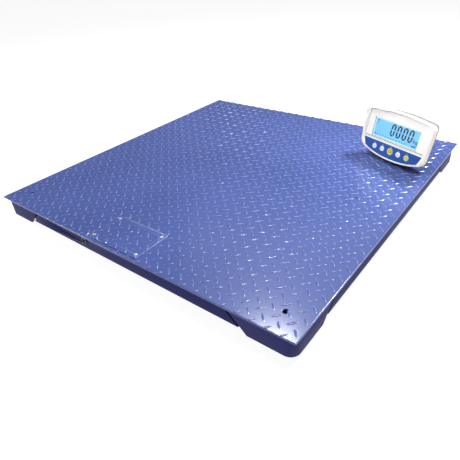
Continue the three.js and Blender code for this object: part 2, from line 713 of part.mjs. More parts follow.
const facePoints = (factor = 1, rise = 0) => faceOutline()
  .getSpacedPoints(FACE_POINTS)
  .slice(0, FACE_POINTS)
  .map((point) => new THREE.Vector2(point.x * factor, point.y * factor + rise));

// Outline of the sunk field that holds the display and the keypad, with a notch in its top edge.
const recessOutline = () => {
  const r = RECESS;
  const side = r.halfWidth - r.taper;
  const shape = new THREE.Shape();
  shape.moveTo(0, r.bottom);
  shape.quadraticCurveTo(r.bottomBend, r.bottom, r.bottomCornerX, r.bottom + r.bottomCornerRise);
  shape.lineTo(r.halfWidth - KEYPAD.margin, KEYPAD.top);
  shape.lineTo(side, r.top - r.corner);
  shape.quadraticCurveTo(side, r.top - 2, side - r.corner, r.top - 1);
  shape.lineTo(r.notchHalfWidth + r.notchSlope, r.top + 2);
  shape.lineTo(r.notchHalfWidth, r.notchTop);
  shape.lineTo(-r.notchHalfWidth, r.notchTop);
  shape.lineTo(-r.notchHalfWidth - r.notchSlope, r.top + 2);
  shape.lineTo(-side + r.corner, r.top - 1);
  shape.quadraticCurveTo(-side, r.top - 2, -side, r.top - r.corner);
  shape.lineTo(-r.halfWidth + KEYPAD.margin, KEYPAD.top);
  shape.lineTo(-r.bottomCornerX, r.bottom + r.bottomCornerRise);
  shape.quadraticCurveTo(-r.bottomBend, r.bottom, 0, r.bottom);
  return shape;
};

// Front shell: a shallow tray with a sunk face and a rim that grows into a visor at the top.
const frontShell = () => {
  const body = loft([[facePoints(), SEAM_Z], [facePoints(), VISOR_TOP]]);
  const visorSlope = polygon([
    [FACE.chin - PAST, VISOR_BOTTOM],
    [FACE.crown + PAST, VISOR_TOP],
    [FACE.crown + PAST, VISOR_TOP + PAST],
    [FACE.chin - PAST, VISOR_TOP + PAST],
  ]);
  const side = FACE.topHalfWidth + 2 * PAST;
  const slope = prism(visorSlope, -side, side).rotateX(Math.PI / 2).rotateZ(Math.PI / 2);
  const inside = facePoints(INNER_SCALE);
  const cavity = loft([[inside, SEAM_Z - PAST], [inside, -SHELL_WALL]]);
  const lensX = DISPLAY.width / 2 + DISPLAY.lensMargin + GAP;
  const lensY = DISPLAY.height / 2 + DISPLAY.lensMargin + GAP;
  return cut(
    body,
    slope,
    prism(recessOutline(), 0, VISOR_TOP + PAST, 5),
    cavity,
    box(-lensX, lensX, -lensY, lensY, -SHELL_WALL - PAST, PAST),
    ...KEYS.map((key) => barZ(key.x, KEY_Y, -SHELL_WALL - PAST, PAST, key.radius + KEY_CLEARANCE, 24)),
  );
};

const displayWindow = () => {
  const x = DISPLAY.width / 2 + DISPLAY.lensMargin;
  const y = DISPLAY.height / 2 + DISPLAY.lensMargin;
  return box(-x, x, -y, y, -DISPLAY.lensThickness - DISPLAY.lensSunk, -DISPLAY.lensSunk);
};

const lcdModule = () => {
  const x = DISPLAY.width / 2 + DISPLAY.lcdMargin;
  const y = DISPLAY.height / 2 + DISPLAY.lcdMargin;
  const front = -DISPLAY.lensThickness - DISPLAY.lensSunk - GAP;
  return box(-x, x, -y, y, front - DISPLAY.lcdDepth, front);
};

const keypadPanel = () => {
  const r = RECESS;
  const top = r.halfWidth - 2 * KEYPAD.margin;
  const bottom = r.bottom + KEYPAD.margin;
  const bend = r.bottomBend - KEYPAD.margin;
  const cornerX = r.bottomCornerX - KEYPAD.cornerMargin;
  const cornerY = r.bottom + r.bottomCornerRise;
  const shape = new THREE.Shape();
  shape.moveTo(0, bottom);
  shape.quadraticCurveTo(bend, bottom, cornerX, cornerY + KEYPAD.margin / 2);
  shape.lineTo(top, KEYPAD.top);
  shape.lineTo(-top, KEYPAD.top);
  shape.lineTo(-cornerX, cornerY + KEYPAD.margin / 2);
  shape.quadraticCurveTo(-bend, bottom, 0, bottom);
  const panel = prism(shape, GAP, GAP + KEYPAD.thickness, 10);
  const high = GAP + KEYPAD.thickness + PAST;
  const opening = (key) => barZ(key.x, KEY_Y, -PAST, high, key.radius + KEY_CLEARANCE, 24);
  return cut(panel, ...KEYS.map(opening));
};

// A domed cap with a wider skirt behind the face that keeps it in.
const keyCap = (radius) => turned([
  [0, -SHELL_WALL - KEY_SKIRT.bottom],
  [radius + KEY_SKIRT.extra, -SHELL_WALL - KEY_SKIRT.bottom],
  [radius + KEY_SKIRT.extra, -SHELL_WALL - GAP],
  [radius, -SHELL_WALL - GAP],
  [radius, KEY_PROUD - KEY_DOME.shoulder],
  [radius - KEY_DOME.edge, KEY_PROUD - KEY_DOME.rise],
  [0, KEY_PROUD],
], 24);

const rearShell = () => {
  const outer = loft([...REAR_RINGS].reverse().map(([z, factor, rise]) => [facePoints(factor, rise), z]));
  const mouth = [facePoints(INNER_SCALE), SEAM_Z + PAST];
  const inside = REAR_RINGS.slice(2).map(([z, factor, rise]) => (
    [facePoints(factor * INNER_SCALE, rise), z + SHELL_WALL]
  ));
  const hollow = loft([mouth, ...inside].reverse());
  const bossBar = barX(PIVOT.y, PIVOT.z, -BOSS.halfWidth, BOSS.halfWidth, BOSS.radius, 20);
  const bossRoot = box(
    -BOSS.halfWidth, BOSS.halfWidth,
    PIVOT.y - BOSS.radius, PIVOT.y + BOSS.radius,
    PIVOT.z, REAR_DEPTH + SHELL_WALL / 2,
  );
  const door = BATTERY_DOOR;
  const doorSeat = box(
    door.x - door.width / 2 - GAP, door.x + door.width / 2 + GAP,
    door.y - door.height / 2 - GAP, door.y + door.height / 2 + GAP,
    REAR_DEPTH - PAST, REAR_DEPTH + door.thickness + GAP,
  );
  const { x: socketX, y: socketY, barrel } = REAR_SOCKET;
  return cut(
    join(cut(outer, hollow), bossBar, bossRoot),
    barX(PIVOT.y, PIVOT.z, -BOSS.halfWidth - PAST, BOSS.halfWidth + PAST, BOSS.bore, 16),
    doorSeat,
    barZ(socketX, socketY, REAR_DEPTH - PAST, REAR_DEPTH + 2 * SHELL_WALL, barrel + GAP, 20),
  );
};

const batteryDoor = () => {
  const door = BATTERY_DOOR;
  return box(
    door.x - door.width / 2, door.x + door.width / 2,
    door.y - door.height / 2, door.y + door.height / 2,
    REAR_DEPTH, REAR_DEPTH + door.thickness,
  );
};

const rearSocket = () => {
  const { ring, ringHeight, barrel, barrelHeight, bore, inside } = REAR_SOCKET;
  return turned([
    [0, REAR_DEPTH - ringHeight],
    [bore, REAR_DEPTH - ringHeight],
    [bore, REAR_DEPTH - barrelHeight],
    [barrel, REAR_DEPTH - barrelHeight],
    [barrel, REAR_DEPTH - ringHeight],
    [ring, REAR_DEPTH - ringHeight],
    [ring, REAR_DEPTH - GAP],
    [barrel, REAR_DEPTH - GAP],
    [barrel, REAR_DEPTH + inside],
    [0, REAR_DEPTH + inside],
  ], 20);
};

const mainBoard = () => {
  const { halfWidth, bottom, top, back, thickness } = MAIN_BOARD;
  return box(-halfWidth, halfWidth, bottom, top, back, back + thickness);
};

const battery = () => {
  const { left, right, bottom, top, back, front } = BATTERY;
  return box(left, right, bottom, top, back, front);
};

place('front_shell', frontShell(), SHELL_PLASTIC, indicator);
place('rear_shell', rearShell(), REAR_PLASTIC, indicator);
place('display_window', displayWindow(), LENS_CLEAR, indicator);
place('lcd_module', lcdModule(), LCD_BLUE, indicator);
place('keypad_panel', keypadPanel(), KEYPAD_BLUE, indicator);
KEYS.forEach((key) => {
  const material = finish(key.colour, 0.4, 0);
  place(key.name, keyCap(key.radius), material, indicator).position.set(key.x, KEY_Y, 0);
});
place('main_board', mainBoard(), BOARD_GREEN, indicator);
place('battery', battery(), BATTERY_GREY, indicator);
place('battery_door', batteryDoor(), REAR_PLASTIC, indicator);
place('rear_socket', rearSocket(), BLACK_PLASTIC, indicator).position.set(REAR_SOCKET.x, REAR_SOCKET.y, 0);

// ---------------------------------------------------------------- stand of the indicator
// Drawn in the stand's frame: origin on the deck under the display, +X right, +Y back.

const pivotInStand = () => {
  const back = PIVOT.y * Math.sin(INDICATOR_TILT) - PIVOT.z * Math.cos(INDICATOR_TILT);
  const up = PIVOT.y * Math.cos(INDICATOR_TILT) + PIVOT.z * Math.sin(INDICATOR_TILT);
  return { y: back, z: INDICATOR_POSITION.z - DECK_TOP + up };
};

const standOutline = () => roundedRectangle(
  -STAND.halfWidth, STAND.halfWidth, STAND.front, STAND.back, STAND.corner,
);

const standPad = () => prism(standOutline(), GAP, GAP + STAND.pad, 3);

// Folded sheet: a base plate and two upright ears that hold the boss of the rear shell.
const standYoke = () => {
  const bottom = STAND.pad + 2 * GAP;
  const pivot = pivotInStand();
  const base = prism(standOutline(), bottom, bottom + STAND.sheet, 3);
  const earFoot = bottom + STAND.sheet / 2;
  const side = new THREE.Shape();
  side.moveTo(pivot.y - EAR.footHalfWidth, earFoot);
  side.lineTo(Math.min(pivot.y + EAR.footHalfWidth, STAND.back - EAR.backMargin), earFoot);
  side.lineTo(pivot.y + EAR.radius, pivot.z);
  side.absarc(pivot.y, pivot.z, EAR.radius, 0, Math.PI);
  const ear = (x) => prism(side, x, x + EAR.thickness, 8).rotateX(Math.PI / 2).rotateZ(Math.PI / 2);
  const inner = BOSS.halfWidth + 2 * GAP;
  return cut(
    join(base, ear(inner), ear(-inner - EAR.thickness)),
    barX(pivot.y, pivot.z, -STAND.halfWidth, STAND.halfWidth, BOSS.bore, 16),
  );
};

// Clamping knob with its bolt through both ears, turned about X and pushed in from the right.
const standKnob = () => {
  const hub = BOSS.halfWidth + 2 * GAP + EAR.thickness + GAP;
  const bolt = barX(0, 0, -hub - KNOB.boltPast, hub + KNOB.bolt, KNOB.bolt, 16);
  const count = KNOB.lobes * KNOB.lobeSteps;
  const lobed = Array.from({ length: count }, (_, i) => {
    const angle = (i / count) * Math.PI * 2;
    const radius = KNOB.radius + KNOB.lobeHeight * Math.cos(angle * KNOB.lobes);
    return [radius * Math.cos(angle), radius * Math.sin(angle)];
  });
  const head = prism(polygon(lobed), hub, hub + KNOB.length).rotateX(Math.PI / 2).rotateZ(Math.PI / 2);
  return join(bolt, head);
};

place('stand_pad', standPad(), RUBBER, stand);
place('stand_yoke', standYoke(), DARK_STEEL, stand);
const knob = place('stand_knob', standKnob(), BLACK_PLASTIC, stand);
knob.position.set(0, pivotInStand().y, pivotInStand().z);

export default scale;
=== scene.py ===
"""Looks for the platform floor scale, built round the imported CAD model.

Metres, +Z up, in the model's own frame: +X right along the front edge, +Y to the back.
Places come from the CAD boxes, the joints, or the constants below.
"""

import json
import math

import bmesh
import bpy
from mathutils import Matrix, Vector
from mathutils.geometry import delaunay_2d_cdt


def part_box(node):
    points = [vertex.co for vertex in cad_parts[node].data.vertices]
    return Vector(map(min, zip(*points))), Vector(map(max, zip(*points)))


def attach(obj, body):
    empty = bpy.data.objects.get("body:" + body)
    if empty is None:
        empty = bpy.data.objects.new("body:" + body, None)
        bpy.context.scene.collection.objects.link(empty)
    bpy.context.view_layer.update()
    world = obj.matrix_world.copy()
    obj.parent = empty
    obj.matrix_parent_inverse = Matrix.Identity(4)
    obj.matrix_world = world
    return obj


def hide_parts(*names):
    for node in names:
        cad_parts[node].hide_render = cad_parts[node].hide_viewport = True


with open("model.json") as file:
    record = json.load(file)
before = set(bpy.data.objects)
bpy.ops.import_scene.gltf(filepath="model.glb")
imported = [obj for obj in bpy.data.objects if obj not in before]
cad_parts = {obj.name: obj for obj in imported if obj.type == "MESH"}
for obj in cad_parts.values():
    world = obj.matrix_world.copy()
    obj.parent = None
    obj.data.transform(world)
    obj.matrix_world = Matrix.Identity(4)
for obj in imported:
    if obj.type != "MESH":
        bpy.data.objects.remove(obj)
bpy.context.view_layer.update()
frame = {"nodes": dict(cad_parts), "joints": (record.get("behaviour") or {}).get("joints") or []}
MM = 0.001

# ---- shared places

DECK_LOW, DECK_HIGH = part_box("deck_plate")
COVER_LOW, COVER_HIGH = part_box("access_cover")
DECK_TOP = DECK_HIGH.z
CORNERS = {"front_left": (-1, -1), "front_right": (1, -1), "back_right": (1, 1), "back_left": (-1, 1)}


def middle(node):
    low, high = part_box(node)
    return (low + high) / 2


def joint(name):
    return next(j for j in frame["joints"] if j["name"] == name)


# The indicator's face frame: right, up, out of the face, and its origin at the display's middle.
FACE_OUT = -Vector(joint("key_press_1")["axis"]).normalized()
FACE_RIGHT = Vector(joint("knob_turn")["axis"]).normalized()
FACE_UP = FACE_OUT.cross(FACE_RIGHT).normalized()
WINDOW_DEPTH = 1.5 * MM             # middle of the display window, behind the face
FACE_ORIGIN = middle("display_window") + FACE_OUT * WINDOW_DEPTH
FACE_FRAME = Matrix((
    (FACE_RIGHT.x, FACE_UP.x, FACE_OUT.x, FACE_ORIGIN.x),
    (FACE_RIGHT.y, FACE_UP.y, FACE_OUT.y, FACE_ORIGIN.y),
    (FACE_RIGHT.z, FACE_UP.z, FACE_OUT.z, FACE_ORIGIN.z),
    (0, 0, 0, 1),
))


# ---- materials


def tone(red, green, blue):
    """A display colour from 0 to 255 as linear light."""
    def linear(c):
        c /= 255
        return c / 12.92 if c <= 0.04045 else ((c + 0.055) / 1.055) ** 2.4
    return (linear(red), linear(green), linear(blue), 1.0)


def node(tree, kind, output, inputs, operation=None):
    """A shader node fed by constants and by other nodes' outputs; returns one of its own outputs."""
    made = tree.nodes.new("ShaderNode" + kind)
    if kind == "Mix":
        made.data_type = "RGBA"
    if operation:
        made.operation = operation
    for name, value in inputs.items():
        if isinstance(value, bpy.types.NodeSocket):
            tree.links.new(value, made.inputs[name])
        else:
            made.inputs[name].default_value = value
    return made.outputs[output]


def ramp(tree, source, low, high, at_low, at_high):
    span = {"Value": source, "From Min": low, "From Max": high, "To Min": at_low, "To Max": at_high}
    return node(tree, "MapRange", "Result", span)


def shade(colour, amount):
    return tuple(min(1.0, c * amount) for c in colour[:3]) + (1.0,)


BROAD_BAND, FINE_BAND = (0.3, 0.7), (0.35, 0.65)    # the stretch of each noise that is used
EDGE_BAND = (0.53, 0.6)                             # pointiness from where an edge is lightened, for wear and as a painted highlight
FINE_SHARE, EDGE_WEAR_AND_HIGHLIGHT_SHARE = 0.35, 0.8
SWELL_SCALE, SWELL_DEPTH, GRAIN_DEPTH = 5.0, 0.004, 0.0004


def material(name, base, rough, metal=0.0, vary=0.12, grain=400.0, bump=0.1, bump_scale=900.0,
             edge_wear_and_highlight=None, coat=0.0, coat_rough=0.2, patches=6.0, rough_vary=0.08, waviness=0.0, gloss=0.5):
    """Principled material with drifting colour, broken gloss, fine bump and lightened edges, which stand for
    wear and, on the deck, for a painted highlight too.
    """
    m = bpy.data.materials.new(name)
    m.use_nodes = True
    tree = m.node_tree
    shader = tree.nodes["Principled BSDF"]
    shader.inputs["Metallic"].default_value = metal
    shader.inputs["Coat Weight"].default_value = coat
    shader.inputs["Specular IOR Level"].default_value = gloss
    shader.inputs["Coat Roughness"].default_value = coat_rough
    place = node(tree, "TexCoord", "Object", {})

    def noise(scale, detail=3.0):
        return node(tree, "TexNoise", "Fac", {"Scale": scale, "Detail": detail, "Vector": place})

    def mixed(factor, a, b):
        return node(tree, "Mix", "Result", {"Factor": factor, "A": a, "B": b})

    def bumped(strength, distance, height, under):
        inputs = {"Strength": strength, "Distance": distance, "Height": height}
        return node(tree, "Bump", "Normal", {**inputs, **under})

    broad = noise(patches, 4.0)
    colour = mixed(ramp(tree, broad, *BROAD_BAND, 0, 1), shade(base, 1 - vary), shade(base, 1 + vary))
    fine = ramp(tree, noise(grain), *FINE_BAND, 0, FINE_SHARE)
    colour = mixed(fine, colour, shade(base, 1 - 1.5 * vary))
    # Edges lightened by pointiness: wear, and on the deck a painted highlight as well.
    if edge_wear_and_highlight:
        point = node(tree, "NewGeometry", "Pointiness", {})
        colour = mixed(ramp(tree, point, *EDGE_BAND, 0, EDGE_WEAR_AND_HIGHLIGHT_SHARE), colour, edge_wear_and_highlight)
    tree.links.new(colour, shader.inputs["Base Color"])
    roughness = ramp(tree, broad, *BROAD_BAND, rough - rough_vary, rough + rough_vary)
    tree.links.new(roughness, shader.inputs["Roughness"])
    under = {"Normal": bumped(waviness, SWELL_DEPTH, noise(SWELL_SCALE, 1.0), {})} if waviness else {}
    normal = bumped(bump, GRAIN_DEPTH, noise(bump_scale, 2.0), under)
    tree.links.new(normal, shader.inputs["Normal"])
    return m


# Its lighter edge colour is partly wear and partly a painted highlight, which brightens the plate's edges
# and the lug crests.
DECK_PAINT = material("deck_powder_coat", tone(64, 79, 136), 0.34, vary=0.1, grain=260, bump=0.12,
                      bump_scale=420, patches=3.0, waviness=0.35, edge_wear_and_highlight=tone(140, 154, 206), gloss=0.12,
                      coat=0.9, coat_rough=0.17)
FRAME_PAINT = material("frame_powder_coat", tone(45, 46, 102), 0.55, grain=260, bump=0.25,
                       bump_scale=420, patches=4.0, waviness=0.3, edge_wear_and_highlight=tone(90, 94, 145), gloss=0.08)
STEEL = material("cell_steel", tone(176, 178, 184), 0.32, metal=1.0, bump=0.15, bump_scale=1500)
DARK_STEEL = material("stand_black_paint", tone(44, 45, 52), 0.42, metal=0.2, bump=0.3, bump_scale=1200,
                      edge_wear_and_highlight=tone(110, 112, 120))
ZINC = material("zinc_plate", tone(226, 229, 235), 0.45, metal=1.0, bump=0.1, bump_scale=1200, patches=60)
RUBBER = material("foot_rubber", tone(30, 30, 32), 0.8, bump=0.4, bump_scale=1500)
BLACK_PLASTIC = material("black_plastic", tone(30, 31, 34), 0.45, bump=0.25, bump_scale=1600)
JACKET = material("cable_jacket", tone(36, 37, 40), 0.55, bump=0.15, bump_scale=1200)
SHELL = material("shell_plastic", tone(246, 241, 231), 0.42, vary=0.02, bump=0.12, bump_scale=1800,
                 patches=12, rough_vary=0.04)
REAR_SHELL = material("rear_shell_plastic", tone(112, 114, 120), 0.5, vary=0.04, bump=0.3, bump_scale=1600)
FILM = material("keypad_film", tone(28, 78, 158), 0.35, vary=0.06, bump=0.1, bump_scale=2200, patches=25)
PINSTRIPE = material("printed_line", tone(20, 82, 110), 0.4, vary=0.05, patches=40)
KEY_WHITE = material("key_white", tone(232, 235, 244), 0.3, vary=0.03, bump=0.05, patches=50)
KEY_YELLOW = material("key_yellow", tone(224, 208, 60), 0.3, vary=0.05, bump=0.05, patches=50)
KEY_LIME = material("key_lime", tone(214, 214, 90), 0.3, vary=0.05, bump=0.05, patches=50)
MARK_DARK = material("key_print", tone(24, 34, 62), 0.5, vary=0.05, patches=60)
MARK_PALE = material("film_print", tone(170, 196, 232), 0.4, vary=0.05, patches=60)
BOARD = material("solder_mask", tone(26, 96, 54), 0.3, vary=0.1, bump=0.2)
CELL_CASE = material("battery_case", tone(70, 74, 84), 0.5, bump=0.2)
GOLD = material("contact_gold", tone(214, 178, 100), 0.25, metal=1.0, patches=80)


def glowing(name, colour, strength, vary=0.06):
    m = material(name, colour, 0.3, vary=vary, patches=9)
    shader = m.node_tree.nodes["Principled BSDF"]
    source = shader.inputs["Base Color"].links[0].from_socket
    m.node_tree.links.new(source, shader.inputs["Emission Color"])
    shader.inputs["Emission Strength"].default_value = strength
    return m


LCD_LIGHT = glowing("lcd_backlight", tone(116, 188, 234), 0.32)
LCD_EDGE = glowing("lcd_edge_glow", tone(205, 238, 250), 0.3)
LCD_INK = material("lcd_segment", tone(8, 26, 34), 0.4, vary=0.05, patches=50)


def clear_lens():
    m = material("clear_lens", tone(150, 175, 190), 0.12, vary=0.01, bump=0.01, rough_vary=0.02)
    m.node_tree.nodes["Principled BSDF"].inputs["Alpha"].default_value = 0.05
    return m


LENS = clear_lens()

# ---- mesh helpers


INSIDE_ONLY = 1                     # the triangulation's mode that drops what lies outside the outline


def linked(name, data):
    """A new object, put in the scene."""
    made = bpy.data.objects.new(name, data)
    bpy.context.scene.collection.objects.link(made)
    return made


def finished(name, bm, look, body, replaced=(), place=None, smooth=35.0):
    """The bmesh as a piece: welded, faces out, shaded smooth up to an angle, riding on its body."""
    bmesh.ops.remove_doubles(bm, verts=bm.verts, dist=1e-7)
    bmesh.ops.recalc_face_normals(bm, faces=bm.faces)
    if place is not None:
        bm.transform(place)
    limit = math.radians(smooth)
    for face in bm.faces:
        face.smooth = True
    for edge in bm.edges:
        edge.smooth = len(edge.link_faces) == 2 and edge.calc_face_angle(0) < limit and not edge.seam
    mesh = bpy.data.meshes.new(name)
    bm.to_mesh(mesh)
    bm.free()
    piece = linked(name, mesh)
    mesh.materials.append(look)
    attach(piece, body)
    if replaced:
        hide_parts(*replaced)
    return piece


def add_ring(bm, points):
    return [bm.verts.new(p) for p in points]


def flat_ring(bm, points, z):
    return add_ring(bm, [(x, y, z) for x, y in points])


def bridge(bm, a, b):
    count = len(a)
    for i in range(count):
        j = (i + 1) % count
        bm.faces.new((a[i], a[j], b[j], b[i]))


def skin(bm, rings):
    for a, b in zip(rings, rings[1:]):
        bridge(bm, a, b)


def fan(bm, ring, height=None):
    """Closes a ring to its middle, which is set to a height where one is given."""
    centre = sum((v.co for v in ring), Vector()) / len(ring)
    if height is not None:
        centre.z = height
    tip = bm.verts.new(centre)
    for i in range(len(ring)):
        bm.faces.new((ring[i], ring[(i + 1) % len(ring)], tip))


def quarter(steps):
    """(1 - cosine, sine) at even steps through a quarter turn."""
    turns = [math.pi / 2 * i / steps for i in range(steps + 1)]
    return [(1 - math.cos(a), math.sin(a)) for a in turns]


def fill(bm, loops):
    """Fills the flat region inside the first loop and outside the others, which are convex holes."""
    verts = [v for loop in loops for v in loop]
    edges, owner = [], []
    for number, loop in enumerate(loops):
        start, count = len(owner), len(loop)
        edges += [(start + i, start + (i + 1) % count) for i in range(count)]
        owner += [number] * count
    flat = [v.co.to_2d() for v in verts]
    _, _, faces, origins, _, _ = delaunay_2d_cdt(flat, edges, [], INSIDE_ONLY, 1e-9)
    for face in faces:
        corners = [origins[i][0] for i in face]
        loops_met = {owner[i] for i in corners}
        if loops_met == {0} or len(loops_met) > 1:
            bm.faces.new([verts[i] for i in corners])


def round_loop(x, y, radius, sides=48):
    """A circle as a function of how far it is drawn in; a negative inset widens it."""
    def loop(inset=0.0):
        r = radius - inset
        turns = [2 * math.pi * i / sides for i in range(sides)]
        return [(x + r * math.cos(a), y + r * math.sin(a)) for a in turns]
    return loop


def box_loop(x0, x1, y0, y1, radius, steps=5):
    """A rounded rectangle as a function of how far it is drawn in."""
    def loop(inset=0.0):
        r = max(radius - inset, 0.02 * radius)
        left, right, low, high = x0 + inset + r, x1 - inset - r, y0 + inset + r, y1 - inset - r
        points = []
        for cx, cy, start in ((right, high, 0), (left, high, 1), (left, low, 2), (right, low, 3)):
            for i in range(steps + 1):
                a = math.pi / 2 * (start + i / steps)
                points.append((cx + r * math.cos(a), cy + r * math.sin(a)))
        return points
    return loop


def slab(bm, outer, holes, low, high, edge, steps=3, low_edge=0.0):
    """A flat plate with openings, its upper edges rounded and its lower ones chamfered."""
    tops, bottoms = [], []
    for number, loop in enumerate([outer, *holes]):
        sign = 1 if number == 0 else -1
        levels = [(low_edge, low), (0.0, low + low_edge)] if low_edge else [(0.0, low)]
        levels += [(edge * drawn, high - edge + edge * risen) for drawn, risen in quarter(steps)]
        rings = [flat_ring(bm, loop(sign * inset), z) for inset, z in levels]
        skin(bm, rings)
        tops.append(rings[-1])
        bottoms.append(rings[0])
    fill(bm, tops)
    fill(bm, bottoms)
    for ring in tops + bottoms:
        for a, b in zip(ring, ring[1:] + ring[:1]):
            bm.edges.get((a, b)).seam = True


def bore(bm, loop, high, low, edge=0.4, floor=False):
    """A hole's chamfered wall; returns its two end rings, the lower one None where it has a floor."""
    mouth = flat_ring(bm, loop(-edge), high)
    neck = flat_ring(bm, loop(), high + math.copysign(edge, low - high))
    end = flat_ring(bm, loop(), low)
    skin(bm, [mouth, neck, end])
    if floor:
        fill(bm, [end])
    return mouth, None if floor else end


def quadratic(start, bend, end, steps=14):
    """Points along a quadratic curve, without its last one."""
    points = []
    for i in range(steps):
        t = i / steps
        weights = ((1 - t) ** 2, 2 * t * (1 - t), t * t)
        points.append(sum((Vector(p) * w for p, w in zip((start, bend, end), weights)), Vector((0, 0))))
    return points


def mirrored(half):
    """A closed outline from its right half, which runs from the bottom to the top of the middle line."""
    half = [Vector(p) for p in half]
    return half + [Vector((-p.x, p.y)) for p in half[-2:0:-1]]


def evenly(points, count):
    """A closed outline as evenly spaced points."""
    lengths = [(b - a).length for a, b in zip(points, points[1:] + points[:1])]
    total, out, i, passed = sum(lengths), [], 0, 0.0
    for k in range(count):
        goal = total * k / count
        while passed + lengths[i] < goal:
            passed += lengths[i]
            i += 1
        out.append(points[i].lerp(points[(i + 1) % len(points)], (goal - passed) / lengths[i]))
    return out


def outline_loop(points):
    """A counter-clockwise outline as a function of how far it is drawn in."""
    def loop(inset=0.0):
        out = []
        for before, at, after in zip(points[-1:] + points[:-1], points, points[1:] + points[:1]):
            a, b = (at - before).normalized(), (after - at).normalized()
            normal = Vector((-a.y - b.y, a.x + b.x)).normalized()
            stretch = 1 / max(0.4, normal.dot(Vector((-a.y, a.x))))
            out.append(tuple(at + normal * inset * stretch))
        return out
    return loop


def stroke(bm, points, width, low, high):
    """A flat line of even width along points, closed where the last one meets the first."""
    points = [Vector(p) for p in points]
    closed = (points[0] - points[-1]).length < 1e-6
    if closed:
        points.pop()
    count, rings = len(points), []
    for i, at in enumerate(points):
        before = points[i - 1] if closed or i else at
        after = points[(i + 1) % count] if closed or i < count - 1 else at
        along = (after - before).normalized()
        across = Vector((-along.y, along.x)) * width / 2
        left, right = at + across, at - across
        rings.append(add_ring(bm, [(*left, low), (*right, low), (*right, high), (*left, high)]))
    for a, b in zip(rings, rings[1:] + rings[:1] if closed else rings[1:]):
        bridge(bm, a, b)
    if not closed:
        bm.faces.new(rings[0][::-1])
        bm.faces.new(rings[-1])


def prism_into(bm, outline, low, high):
    bottom, top = flat_ring(bm, outline, low), flat_ring(bm, outline, high)
    bridge(bm, bottom, top)
    fill(bm, [bottom])
    fill(bm, [top])


def turn_into(bm, profile, sides=64, place=Matrix(), wobble=None):
    """A body turned about Z from (radius, z) pairs; one that starts and ends on the axis is capped."""
    turns = [2 * math.pi * i / sides for i in range(sides)]
    rings = []
    for radius, z in profile:
        reach = [radius * (wobble(a) if wobble else 1) for a in turns]
        points = [Vector((r * math.cos(a), r * math.sin(a), z)) for r, a in zip(reach, turns)]
        rings.append(add_ring(bm, [place @ p for p in points]))
    skin(bm, rings)
    fan(bm, rings[0][::-1])
    fan(bm, rings[-1])


def turned(name, profile, look, body, place, sides=64, replaced=(), wobble=None):
    bm = bmesh.new()
    turn_into(bm, profile, sides, wobble=wobble)
    return finished(name, bm, look, body, replaced, place)


def scaled(points):
    return [(a * MM, b * MM) for a, b in points]


WELD_DISTANCE = 1e-6
BROKEN_ANGLE = math.radians(30)


def recoated(name, look):
    """Carried-over CAD node: welded, shaded smooth and with its own finish."""
    o = frame["nodes"][name]
    o.modifiers.new("weld", "WELD").merge_threshold = WELD_DISTANCE
    for polygon in o.data.polygons:
        polygon.use_smooth = True
    o.data.materials.clear()
    o.data.materials.append(look)
    return o


def sharpened(name, width, look, segments=2):
    """Carried-over CAD node with its sharp edges broken as well."""
    bevel = recoated(name, look).modifiers.new("edges", "BEVEL")
    bevel.width = width
    bevel.segments = segments
    bevel.limit_method = "ANGLE"
    bevel.angle_limit = BROKEN_ANGLE
    bevel.harden_normals = True


# ---- chequered deck and cover

LUG_PITCH = 42.6 * MM
LUG_LENGTH = 27 * MM
LUG_WIDTH = 6.4 * MM
LUG_HEIGHT = 1.8 * MM
LUG_SIDES = 12
LUG_PHASE = Vector((12.0, 4.5)) * MM       # one rising lug's place from the deck's front left corner
FOOT_HOLE = 6.75 * MM
LIFTING_HOLES = [Vector((0.449, 0.023)), Vector((-0.449, 0.023))]
LIFTING_HOLE = 5 * MM
TREAD_BASE = DECK_TOP - LUG_HEIGHT


def lug_outline():
    """(along, across) points of a lug: straight-sided in the middle, drawn in to its ends."""
    points = []
    for i in range(LUG_SIDES):
        angle = 2 * math.pi * i / LUG_SIDES
        along = math.copysign(abs(math.cos(angle)) ** 0.85, math.cos(angle)) * LUG_LENGTH / 2
        points.append((along, math.sin(angle) * LUG_WIDTH / 2))
    return points


LUG_RINGS = [(1.0, 1.0, -0.25), (0.96, 0.93, 0.3), (0.72, 0.33, 0.86)]


def lug_cut(centre, direction, holes):
    """The stretch of a lug, as two shares of its half length, that its hole leaves; None if none."""
    low, high = -LUG_LENGTH, LUG_LENGTH
    for hole, radius in holes:
        along = (hole - centre).dot(direction)
        off = (hole - centre - direction * along).length
        if off >= radius + LUG_WIDTH / 2:
            continue
        half = math.sqrt(max(radius * radius - min(off, radius) ** 2, 0)) + 0.4 * MM
        if abs(along) > LUG_LENGTH / 2 + half:
            continue
        if along > 0:
            high = min(high, along - half)
        else:
            low = max(low, along + half)
    return (low, high) if high - low > 0.35 * LUG_LENGTH else None


def add_lug(bm, centre, angle, holes, keep):
    direction = Vector((math.cos(angle), math.sin(angle)))
    across = Vector((-direction.y, direction.x))
    stretch = lug_cut(centre, direction, holes)
    if stretch is None or stretch[1] < -LUG_LENGTH / 4 or stretch[0] > LUG_LENGTH / 4:
        return
    rings = []
    for long_scale, wide_scale, height in LUG_RINGS:
        ring = []
        for along, side in lug_outline():
            t = min(max(along * long_scale, stretch[0]), stretch[1])
            p = keep(centre + direction * t + across * side * wide_scale, centre)
            ring.append(bm.verts.new((p.x, p.y, TREAD_BASE + LUG_HEIGHT * height)))
        rings.append(ring)
    skin(bm, rings)
    fan(bm, rings[0][::-1])
    fan(bm, rings[-1], DECK_TOP)


